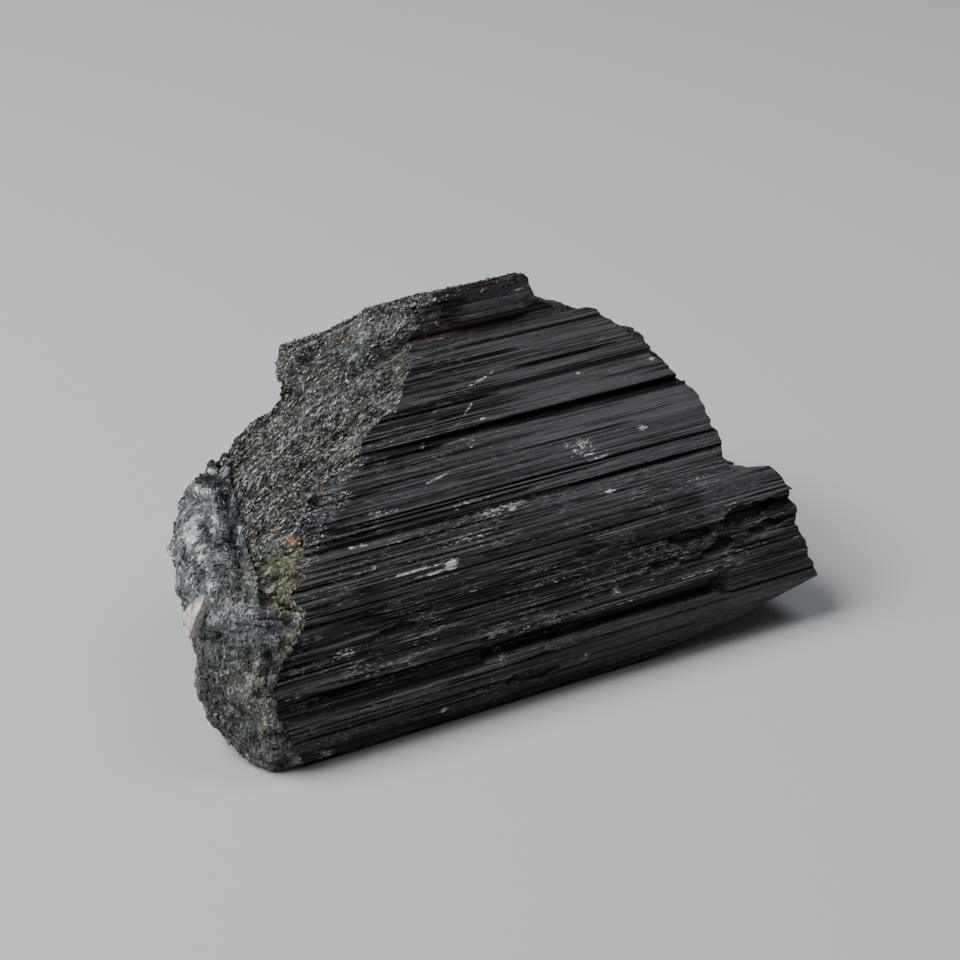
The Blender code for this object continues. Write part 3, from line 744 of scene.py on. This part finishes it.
# Schorl, fresh break: the same mineral splintered into grains 0.3 to 0.6 mm across, dusted with grey
# and beige weathering. Each grain turns its own way, so the break sparkles like coarse sugar.
GRAINS_A_METRE = (1600, 2900, 2900)      # so that a grain is 0.6 mm long along x and 0.35 mm across
GRAINS_TURN = (0, np.radians(32), 0)     # keeps their rows from lining up with x
sugary, tree, shader = surface("broken schorl")
turned = add(tree, "Mapping", add(tree, "TexCoord", out="Object"), None, GRAINS_TURN, GRAINS_A_METRE)
cells = add(tree, "TexVoronoi", turned, None, 1, feature="F1")
cell_colour = cells.node.outputs["Color"]
spread = add(tree, "VectorMath", cell_colour, (0.5, 0.5, 0.5), operation="SUBTRACT")
leaning = add(tree, "VectorMath", spread, (0.9, 0.9, 0.9), add(tree, "NewGeometry", out="Normal"),
              operation="MULTIPLY_ADD")
facet = add(tree, "VectorMath", leaning, operation="NORMALIZE")
mixed = add(tree, "Math", add(tree, "SeparateColor", cell_colour), 0.5,
            add(tree, "Attribute", out="Fac", attribute_name="tone"), operation="MULTIPLY_ADD")
on_crust = add(tree, "Attribute", out="Fac", attribute_name="crust")
feed(tree, shader, {"Base Color": break_colours(tree, add(tree, "MapRange", mixed, 0.2, 1.3)),
                    "Roughness": add(tree, "MapRange", on_crust, 0, 1, 0.38, 0.75), "IOR": 1.64,
                    "Normal": add(tree, "Bump", 0.6, 0.12 * MM, 0.1, cells, facet)})

crystal.data.materials.append(striated)
crystal.data.materials.append(sugary)
slots = (broken[crystal_faces].mean(axis=1) > 0.5).astype(np.int32)
slots[len(side_faces):] = 1
crystal.data.polygons.foreach_set("material_index", slots)
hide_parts("tourmaline_crystal")
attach(crystal, "root")

# ---- Grains on the crystal's breaks --------------------------------------------------------
# Loose-looking but grown-on splinters of the same schorl, most of them 0.2 to 0.6 mm long. They cover
# the slanting break and the broken left half of the ridge, and point up the slope of the break.

# A roof-shaped splinter: a flat base of four corners and a ridge of two.
ROOF = np.array([(-1, -1, -1), (1, -1, -1), (1, 1, -1), (-1, 1, -1), (-0.7, 0, 1), (0.8, 0, 1)]) * 0.5
ROOF_FACES = np.array([(0, 2, 1), (0, 3, 2), (0, 1, 5), (0, 5, 4), (2, 3, 4), (2, 4, 5), (1, 2, 5),
                       (3, 0, 4)])
CLEARANCE = 0.05                         # least height of a strewn corner over the resting plane


def unit(vectors):
    """Rows of vectors brought to length 1."""
    return vectors / np.maximum(np.linalg.norm(vectors, axis=-1, keepdims=True), 1e-9)


def facing(points, triangles):
    """Outward direction and area of each triangle."""
    a, b, c = (points[triangles[:, i]] for i in range(3))
    across = np.cross(b - a, c - a)
    return unit(across), 0.5 * np.linalg.norm(across, axis=1)


def strew(name, shape, ground, chance, count, size, lean, grain, seed, marks):
    """A piece of many copies of a small shape strewn over the ground, more where chance is high; shape
    and ground are (corners, triangles). size is (length, width, thickness), lean how far they tip from
    the surface, grain the way they point. Each corner is moved by up to an eighth of the size. marks
    gives the marks from the copies' middles and a number from 0 to 1 for each."""
    points, triangles = ground
    shape_corners, shape_faces = shape
    draw = np.random.default_rng(seed)
    outward, area = facing(points, triangles)
    likely = np.cumsum(area * chance)
    pick = np.searchsorted(likely, draw.random(count) * likely[-1])
    share = draw.random((2, count))
    share = np.where(share.sum(axis=0) > 1, 1 - share, share)
    a, b, c = (points[triangles[pick, i]] for i in range(3))
    middle = a + (b - a) * share[0][:, None] + (c - a) * share[1][:, None]
    top = unit(outward[pick] + lean * draw.normal(size=(count, 3)))
    front = unit(np.array(grain) + 0.22 * draw.normal(size=(count, 3)))
    front = unit(front - top * np.sum(front * top, axis=1)[:, None])
    scale = np.array(size) * (0.6 + 1.3 * draw.random((count, 1)) ** 3)
    scale = (scale * (0.75 + 0.5 * draw.random((count, 3))))[:, None, :]
    corners = shape_corners * scale
    corners = corners + 0.25 * (draw.random((count, len(shape_corners), 3)) - 0.5) * scale
    frames = np.stack([front, np.cross(top, front), top], axis=1)
    placed = middle[:, None, :] + sum(corners[..., i:i + 1] * frames[:, i:i + 1] for i in range(3))
    placed[..., 2] = np.maximum(placed[..., 2], CLEARANCE)
    faces = shape_faces[None] + len(shape_corners) * np.arange(count)[:, None, None]
    each = marks(middle, draw.random(count))
    return piece(name, placed.reshape(-1, 3), faces.reshape(-1, 3), True,
                 **{mark: np.repeat(values, len(shape_corners)) for mark, values in each.items()})


middles = crystal_points[crystal_faces].mean(axis=1)
x, y, z = middles.T
on_left = np.repeat([0, 1, 0], [len(side_faces), len(left_faces), len(right_faces)])
coated = rocky(middles)
chance = on_left * (x > SEAT_X + SEAT_SLOPE * y + 0.15)
chance = chance + (1 - on_left) * (broken[crystal_faces].min(axis=1) > 0.5)
crest_top = ramp(z, 35.2, 0.5) * ramp(x, 30, 2) * (1 - on_left) * (y < 31)
chance = np.maximum(chance * (x < 36), 0.12 * crest_top)
chance = np.maximum(chance, 0.22 * torn_off[crystal_faces].mean(axis=1) * (1 - on_left))
crusted = patches(middles, CRUST_PATCHES[:2], 60) * (1 - patches(middles, RUST_PATCHES, 70))
chance = chance * (1 - 0.95 * coated * (1 - crusted)) * (1 - 0.6 * crusted)


def splintered(lightest):
    """Marks of the splinters: the cube of a splinter's number makes a few much lighter than the rest,
    as painted glints, most of all high up, and painted shade darkens those on top of the crest."""
    def marks(points, numbers):
        x, y, z = points.T
        high_part = ramp(z, 22, 4)
        tone = 0.12 + 0.25 * blotches(points, 2.6, 55) + 0.05 * high_part
        # Painted glints: a few splinters much lighter, more so high up.
        tone = tone + lightest * (1 + 0.4 * high_part) * numbers ** 3
        # Painted light under the beak, painted shade on the terrace and on the splinters on top of the
        # crest.
        tone = tone + 1.4 * streaks_and_beak_light(points) - 1.2 * terrace_shade(points) - 0.2 * ramp(z, 33, 1.5)
        return dict(stains(points), tone=tone, brown=0.85 * ramp(x, 28.5, 3) * (z > 34))
    return marks


roof, breaks, up_slope = (ROOF, ROOF_FACES), (crystal_points, crystal_faces), (1, 0.1, 0.62)
strewn = [strew(*row) for row in (
    ("break_grains", roof, breaks, chance, 24500, (0.38, 0.15, 0.15), 0.3, up_slope, 90, splintered(1.35)),
    ("break_slivers", roof, breaks, chance, 13000, (0.50, 0.08, 0.07), 0.3, up_slope, 91, splintered(2.3)))]

# Schorl splinters: clean little faces of the same mineral, glossier than the dust-coated break behind them.
splinter, tree, shader = surface("schorl splinters")
tone_mark = add(tree, "Attribute", out="Fac", attribute_name="tone")
feed(tree, shader, {"Base Color": break_colours(tree, add(tree, "MapRange", tone_mark, 0, 1.15)),
                    "Roughness": 0.33, "IOR": 1.64})
for grains in strewn:
    grains.data.materials.append(splinter)
    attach(grains, "root")

# ---- The host rock -------------------------------------------------------------------------
# A lump of fine mica rock with a little feldspar that grew against the flat seat of the crystal.
# Its layers lie parallel to the seat; it is a separate piece, grown tight against the crystal.

ROCK_GAP, ROCK_LOWEST, ROCK_CORE, ROCK_COUNT = 0.02, 0.12, (17, 9), 260
ROCK_RIM = [
    (0.1, 0.35), (-0.7, 2.5), (-1, 4.5), (-1.1, 6.5), (-0.1, 9.3), (2.6, 13.5), (5.1, 17), (9.2, 19.4),
    (15, 18.2), (22, 18.4), (30, 18.5), (36.3, 18.3), (37.6, 13.5), (36.8, 6), (35.2, 0.35), (24, 0.35),
    (12, 0.35)]
ROCK_DEPTH = [
    (-2, 1.6), (0, 3.4), (5, 6.8), (9, 7.6), (14, 7.1), (22, 7.9), (28, 7.8), (32, 6.8), (36, 3.6),
    (38, 1.5)]
ROCK_SHARE = [(0, 0.8), (3, 0.88), (8, 0.86), (14, 1), (20, 1)]


def rock_seat(y, z):
    """x of the inner side of the host rock: flat, but filling the chipped low corner at the front."""
    return np.maximum(SEAT_X + SEAT_SLOPE * y, corner(y, z)) - ROCK_GAP


def rock_front(y, z):
    """x of the broken outer side of the host rock: its thickness tables and low lumps."""
    lumps = 0.35 * np.sin(0.9 * y + 0.7 * z) + 0.3 * np.sin(1.1 * z - 0.6 * y)
    return SEAT_X + SEAT_SLOPE * y - table(ROCK_DEPTH, y) * table(ROCK_SHARE, z) - lumps


def outer_face(y, z, near, inside):
    """The host rock's outer side eased on to its rim over 3 mm."""
    hold = smooth(1 - inside / 3)
    return hold * near + (1 - hold) * rock_front(y, z)


outline = np.array(ROCK_RIM + ROCK_RIM[:1])
outline_at = along_outline(outline)
round_rock = np.linspace(0, outline_at[-1], ROCK_COUNT + 1)[:-1]
rim_y = np.interp(round_rock, outline_at, outline[:, 0])
rim_z = np.interp(round_rock, outline_at, outline[:, 1])
bend = np.radians(np.array([0, 1.5, 4, 8, 14, 21, 29, 38, 47, 56]))[:, None]
core_y, core_z = ROCK_CORE
inwards = np.cos(bend) ** (0.4 + 0.35 * ramp(rim_y, 14, -4))
belt_y = core_y + (rim_y - core_y) * inwards
belt_z = np.maximum(core_z + (rim_z - core_z) * inwards, ROCK_RIM[0][1])
belt_share = np.sin(bend) ** 0.6
belt_x = rock_seat(rim_y, rim_z) * (1 - belt_share) + rock_front(belt_y, belt_z) * belt_share
belts = np.stack([belt_x, belt_y, belt_z])
belt = belts.reshape(3, -1).T
seat_net, seat_faces = close_end(
    belts[:, 0], 0, len(belt), ROCK_CORE, (1.5, 1.5), lambda y, z, near, inside: rock_seat(y, z), 1)
outer_net, outer_faces = close_end(
    belts[:, -1], len(belt) - ROCK_COUNT, len(belt) + len(seat_net), ROCK_CORE, (0.30, 0.27), outer_face, -1)
rock_points = np.concatenate([belt, seat_net, outer_net])
rock_faces = np.concatenate([skin(len(bend), ROCK_COUNT)[:, ::-1], seat_faces, outer_faces])


def roughened(points, triangles, height):
    """Points moved outwards by height, along the mean direction of the triangles round each."""
    outward, area = facing(points, triangles)
    mean = np.zeros_like(points)
    for i in range(3):
        np.add.at(mean, triangles[:, i], outward * area[:, None])
    return points + unit(mean) * height[:, None]


def layered(points, across, along, seed):
    """Noise drawn out along the rock's layers: across mm thick and along mm long."""
    x, y, z = points.T
    return waves((x - SEAT_SLOPE * y) / across, y / along, z / along, seed)


def above_seat(points):
    """Distance of points out from the seat, in mm along x."""
    return rock_seat(points[:, 1], points[:, 2]) + ROCK_GAP - points[:, 0]


def crevices(points):
    """1 in the clefts between the low part's flat lumps, which lie about 1 mm apart up z; the rock's tone
    paints shade into them.
    """
    x, y, z = points.T
    wide = np.abs(waves(x / 2.2, y / 2.2, z, 106)) / 0.22
    return smooth(1.3 - wide) * ramp(z, 15.5, -2) * ramp(y, 7.5, -2.5)


deep = above_seat(rock_points)
x, y, z = rock_points.T
rock_height = (0.35 * blotches(rock_points, 3.6, 101) + 0.35 * layered(rock_points, 0.9, 2.6, 102)
               + 0.22 * layered(rock_points, 0.4, 1, 103) + 0.12 * blotches(rock_points, 0.4, 104))
rock_height = rock_height - 0.45 - 0.4 * blob(rock_points, (-4.2, 26.7, 15), (-4.6, 25.2, 13.6), 2, 105)
rock_height = rock_height - 0.7 * ramp(z, 9, -5) * ramp(y, 14, 6)
seam = ramp(deep, 2.2, -1.4) * ramp(z, 12, 3) * ramp(y, 8, 3)
rock_height = rock_height - 1.1 * seam - 0.35 * crevices(rock_points)
rock_height = rock_height + 0.7 * crust_ribs(y, z) * patches(rock_points, CRUST_PATCHES[:2], 60)
rock_height = rock_height * smooth(deep / 0.5) * ramp(z, 0.3, 1.2)
rock_points = roughened(rock_points, rock_faces, rock_height)
rock_points[:, 2] = np.maximum(rock_points[:, 2], ROCK_LOWEST)

VIOLET_PATCHES = [((-4.6, 6.2, 15.8), (-1.6, 4, 14.6), 1.6), ((-6, 6.6, 16), (-5.2, 5.6, 15), 1)]
SAGE_PATCHES = [
    ((-6.8, 2.4, 11.4), (-6, 0.8, 8.2), 1), ((-5.4, 3.2, 13.2), (-4.9, 1.6, 10.6), 0.8),
    ((-7.4, 1.8, 5.4), (-6.8, 1.4, 4.4), 0.7), ((0.4, 3, 14.6), (-1.4, 2.2, 12.8), 0.9),
    ((-3.6, -0.4, 3), (-1, -0.2, 0.8), 0.7)]
WHITE_PATCHES = [
    ((1.4, 4, 15.6), (0.8, 4, 15.4), 0.4), ((4.2, 33.6, 18.2), (5.6, 32, 18.4), 0.8),
    ((1.6, 30.6, 18), (2.6, 29.4, 18.3), 0.7), ((-1.6, 24.6, 18), (-2.6, 21.6, 17.4), 1),
    ((-3.4, 19, 17.4), (-3.9, 17, 17.2), 0.6), ((-4.4, 23.9, 16), (-4.4, 24.2, 15.2), 0.6),
    ((-0.2, 27.4, 18.2), (0.6, 26.4, 18.3), 0.5)]


def rock_marks(points):
    """The marks that the host rock's materials read: tone, with painted shade in its clefts; seam, painted
    shade along the joint with the crystal; upper and the coloured patches.
    """
    x, y, z = points.T
    tone = 0.5 + 0.3 * layered(points, 0.9, 2.6, 111) + 0.25 * layered(points, 0.35, 0.9, 112)
    # Painted shade in the clefts between the low lumps.
    tone = tone + 0.25 * blotches(points, 1.4, 115) - 0.35 * crevices(points)
    edge = blotches(points, 2, 113)
    upper = smooth((z - 12 + edge) / 2.5) * smooth((y - x - 13.6 + edge) / 2)
    # Painted shade along the seam where the rock meets the crystal's seat.
    seam = smooth(2.1 + 0.5 * edge - above_seat(points)) * ramp(y, 13, 3)
    return dict(tone=tone, upper=upper, seam=seam, violet=patches(points, VIOLET_PATCHES, 114),
                white=patches(points, WHITE_PATCHES, 116), sage=patches(points, SAGE_PATCHES, 118),
                crust=patches(points, CRUST_PATCHES, 60))


rock = piece("host_rock", rock_points, rock_faces, False, **rock_marks(rock_points))


def rock_colours(tree, tone):
    """Colour of the host rock: silvery mica above, greenish grey below, then its patches."""
    low = toned(tree, tone, (0, 0.7, 1.1), ("#1f2321", "#6f756f", "#abada3"))
    high = toned(tree, tone, (0.1, 0.6, 1.1), ("#2b2f32", "#666b6f", "#b2b7bb"))
    colour = add(tree, "MixRGB", add(tree, "Attribute", out="Fac", attribute_name="upper"), low, high)
    # The seam coat is painted shade along the joint, and the colour of the dark rim crystals.
    for patch, darkest, dark, light in (
            ("violet", 0.1, "#63656a", "#aaacb3"), ("sage", 0.1, "#4c5147", "#999d8d"),
            ("crust", 0.1, "#3b3c30", "#95957e"), ("white", 0.1, "#8e9194", "#d6d7d6"),
            ("seam", 0.3, "#1b1f21", "#61676a")):
        share = add(tree, "Attribute", out="Fac", attribute_name=patch)
        colour = add(tree, "MixRGB", share, colour, toned(tree, tone, (darkest, 0.9), (dark, light)))
    return colour


# Fine-grained mica rock, broken: dull between its flakes, which lie along the layers.
schist, tree, shader = surface("mica rock")
speckle = grown(tree, 0.3, 0.35, 0.5, 3, 0.7)
rock_tone = add(tree, "Math", add(tree, "MapRange", speckle, 0.3, 0.7, -0.35, 0.35),
                add(tree, "Attribute", out="Fac", attribute_name="tone"), operation="ADD")
feed(tree, shader, {"Base Color": rock_colours(tree, rock_tone), "Roughness": 0.5,
                    "Normal": add(tree, "Bump", 1, 0.15 * MM, None, speckle)})
rock.data.materials.append(schist)
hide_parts("mica_matrix")
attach(rock, "root")

# ---- Flakes, grains and a feldspar chip on the host rock ------------------------------------
# Mica flakes, most of them under half a millimetre long, lie along the layers of the upper lump, dark
# crystals stand on its top rim, and coarser grains of mica, quartz and feldspar cover the low part and
# the crystal's low front corner, so that the two pieces look grown together.

# A flat chip with eight corners.
BOX = np.array([(-1, -1, -1), (1, -1, -1), (1, 1, -1), (-1, 1, -1),
                (-1, -1, 1), (1, -1, 1), (1, 1, 1), (-1, 1, 1)]) * 0.5
BOX_FACES = np.array([(0, 2, 1), (0, 3, 2), (4, 5, 6), (4, 6, 7), (0, 1, 5), (0, 5, 4),
                      (1, 2, 6), (1, 6, 5), (2, 3, 7), (2, 7, 6), (3, 0, 4), (3, 4, 7)])

rock_middles = rock_points[rock_faces].mean(axis=1)
over_seat = above_seat(rock_middles)
open_side = (over_seat > 0.05) * (rock_middles[:, 2] > 0.6)
high_up = rock_marks(rock_middles)["upper"]


def beyond_rim(points):
    """Distance of points beyond the rock's rim, seen along x; below 0 inside it."""
    return -from_rim((belt_x[0], rim_y, rim_z), ROCK_CORE, points[:, 1], points[:, 2])[0]


def shaded(amount, power, mean):
    """Marks of the host rock for strewn chips. Each chip's tone is moved by amount times its number to
    the given power, less the mean."""
    def marks(points, numbers):
        rock_like = rock_marks(points)
        return dict(rock_like, tone=rock_like["tone"] + amount * (numbers ** power - mean))
    return marks


def rim_shades(points, numbers):
    """Marks of the crystals on the rim: three in four are dark, but for those on white patches."""
    rock_like = rock_marks(points)
    return dict(rock_like, seam=(0.4 + 0.6 * (numbers < 0.75)) * (1 - 0.8 * rock_like["white"]))


coated_faces = crystal_faces[(coated > 0.05) & (on_left > 0) & (middles[:, 2] > 0.5)
                             & (beyond_rim(middles) > -0.5)]
lump = (rock_points, rock_faces)
ground = (np.concatenate([rock_points, crystal_points]),
          np.concatenate([rock_faces, coated_faces + len(rock_points)]))
ground_middles = ground[0][ground[1]].mean(axis=1)
ribbed = patches(ground_middles, CRUST_PATCHES[:2], 60) * smooth(beyond_rim(ground_middles) - 0.2)
grainy = np.concatenate([open_side * (1.02 - high_up) * (1 - 0.8 * crevices(rock_middles)),
                         2.5 * rocky(ground_middles[len(rock_faces):])]) * (1 - ribbed)
x, y, z = rock_middles.T
rim_zone = ramp(y, 30, 3) * ramp(z, 15.5, 1) * open_side
joint_zone = ramp(y, 14, -2) * (over_seat < 0.7) * (z > 0.7) * (beyond_rim(rock_middles) > -0.4)
box, upright = (BOX, BOX_FACES), (0.2, 0.3, 1)
flakes, gravel, rim_crystals, joint_grains = (strew(*row) for row in (
    ("mica_flakes", box, lump, open_side * high_up, 7000, (0.5, 0.28, 0.08), 0.2, (0.33, 1, 0.9), 120,
     shaded(0.5, 1, 0.45)),
    ("rock_grains", roof, ground, grainy, 24500, (0.34, 0.24, 0.24), 0.5, upright, 121,
     shaded(0.55, 2, 0.33)),
    ("rim_crystals", roof, lump, rim_zone, 700, (0.7, 0.32, 0.5), 0.7, upright, 122, rim_shades),
    ("joint_grains", roof, lump, joint_zone, 4000, (0.42, 0.3, 0.28), 0.8, upright, 123,
     shaded(0.5, 2, 0.33))))

# A split chip of pale feldspar, wedged into the lump's left side: its front edge, then how deep.
CHIP_FRONT = np.array([(-6.7, 8.9, 17.9), (-7, 8.5, 17.5), (-7.5, 8.2, 17), (-8, 8.1, 16.3),
                       (-8.2, 8.4, 15.3), (-8.5, 8.7, 14.1), (-8.7, 8.8, 13.4), (-8.7, 9.4, 14),
                       (-8.6, 9.9, 14.7), (-8.4, 10.5, 15.5), (-8.2, 9.9, 16.4), (-7.9, 9.2, 17.3),
                       (-7.4, 9.3, 17.7)])
CHIP_OUT, CHIP_DEEP = np.array([-0.5, -0.2, 0.1]), np.array([1.4, 0.6, -0.3])
chip_middle = CHIP_FRONT.mean(axis=0)
chip_points = np.concatenate([CHIP_FRONT + CHIP_OUT, CHIP_FRONT + CHIP_DEEP,
                              [chip_middle + 1.6 * CHIP_OUT, chip_middle + CHIP_DEEP]])
front_rim = np.arange(len(CHIP_FRONT))
front_next = (front_rim + 1) % len(front_rim)
deep_rim, deep_next = front_rim + len(front_rim), front_next + len(front_rim)
front_hub = np.full_like(front_rim, 2 * len(front_rim))
deep_hub = front_hub + 1
chip_faces = np.concatenate([np.stack(row, axis=-1) for row in (
    (front_hub, front_next, front_rim), (deep_hub, deep_rim, deep_next),
    (front_rim, front_next, deep_next), (front_rim, deep_next, deep_rim))])
feldspar_chip = piece("feldspar_chip", chip_points, chip_faces, True)

# Muscovite mica: thin clear plates that shine like satin when they catch the light.
mica, tree, shader = surface("muscovite mica")
tone_mark = add(tree, "Attribute", out="Fac", attribute_name="tone")
feed(tree, shader, {"Base Color": rock_colours(tree, tone_mark), "Roughness": 0.28, "IOR": 1.59})

# Broken rock grains: dull, with the odd glassy face.
grit, tree, shader = surface("rock grit")
tone_mark = add(tree, "Attribute", out="Fac", attribute_name="tone")
feed(tree, shader, {"Base Color": rock_colours(tree, tone_mark), "Roughness": 0.45})

# Feldspar, split along its cleavage: dull white with a glassy skin.
feldspar, tree, shader = surface("white feldspar")
cloudy = toned(tree, grown(tree, 0.8, 0.8, 0.8, 3), (0.35, 0.65), ("#aca69c", "#e4e0d8"))
feed(tree, shader, {"Base Color": cloudy, "Roughness": 0.4, "IOR": 1.53})

for grown_on, finish in ((flakes, mica), (gravel, grit), (rim_crystals, grit), (joint_grains, grit),
                         (feldspar_chip, feldspar)):
    grown_on.data.materials.append(finish)
    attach(grown_on, "root")

# ---- Floor, light and camera ---------------------------------------------------------------
# A plain pale floor under one broad soft light from above left, a weak one from the right, and
# a long lens that looks down on the crystal's striated front from its left.

floor_mesh = bpy.data.meshes.new("floor")
floor_mesh.from_pydata([(-3, -3, 0), (3, -3, 0), (3, 3, 0), (-3, 3, 0)], [], [(0, 1, 2, 3)])
floor = bpy.data.objects.new("floor", floor_mesh)
bpy.context.scene.collection.objects.link(floor)
# Matt backdrop paper: a pale even ground that takes soft shadows.
paper, tree, shader = surface("matt backdrop paper")
feed(tree, shader, {"Base Color": linear("#c9cacb"), "Roughness": 0.9})
floor_mesh.materials.append(paper)

world = bpy.data.worlds.new("studio")
world.use_nodes = True
feed(world.node_tree, world.node_tree.nodes["Background"], {"Color": linear("#dfe3e8"), "Strength": 0.10})
bpy.context.scene.world = world


def stand(name, data, right, up, back, place):
    """Put a lamp or camera into the scene at place, with its right, up and back directions."""
    holder = bpy.data.objects.new(name, data)
    rows = [[right[i], up[i], back[i], place[i]] for i in range(3)]
    holder.matrix_world = Matrix(rows + [[0, 0, 0, 1]])
    bpy.context.scene.collection.objects.link(holder)
    return holder


def softbox(name, place, aim, size, watts, tint):
    """Square area light of the given size in metres at place, turned to aim."""
    lamp = bpy.data.lights.new(name, "AREA")
    lamp.shape = "SQUARE"
    lamp.size = size
    lamp.energy = watts
    lamp.color = tint
    back = unit(np.array(place) - np.array(aim))
    right = unit(np.cross((0, 0, 1), back))
    stand(name, lamp, right, np.cross(back, right), back, place)


STONE_MIDDLE = (0, 0, 0.015)
softbox("key", (-0.36, 0.12, 0.52), STONE_MIDDLE, 0.40, 5.5, (1, 1, 1))
softbox("top", (0.27, -0.06, 0.60), STONE_MIDDLE, 0.32, 0.95, (0.90, 0.94, 1))

TURN, TILT = np.radians(29.4), np.radians(28)    # round from the front, and down
CAMERA_AT = (np.array([-90.832, -197.273, 148.715]) - MIDDLE) * MM
ahead = np.array([np.sin(TURN) * np.cos(TILT), np.cos(TURN) * np.cos(TILT), -np.sin(TILT)])
right = np.array([np.cos(TURN), -np.sin(TURN), 0])
lens = bpy.data.cameras.new("camera")
lens.lens = 93.94
lens.clip_start, lens.clip_end = 0.02, 20
bpy.context.scene.camera = stand("camera", lens, right, np.cross(right, ahead), -ahead, CAMERA_AT)
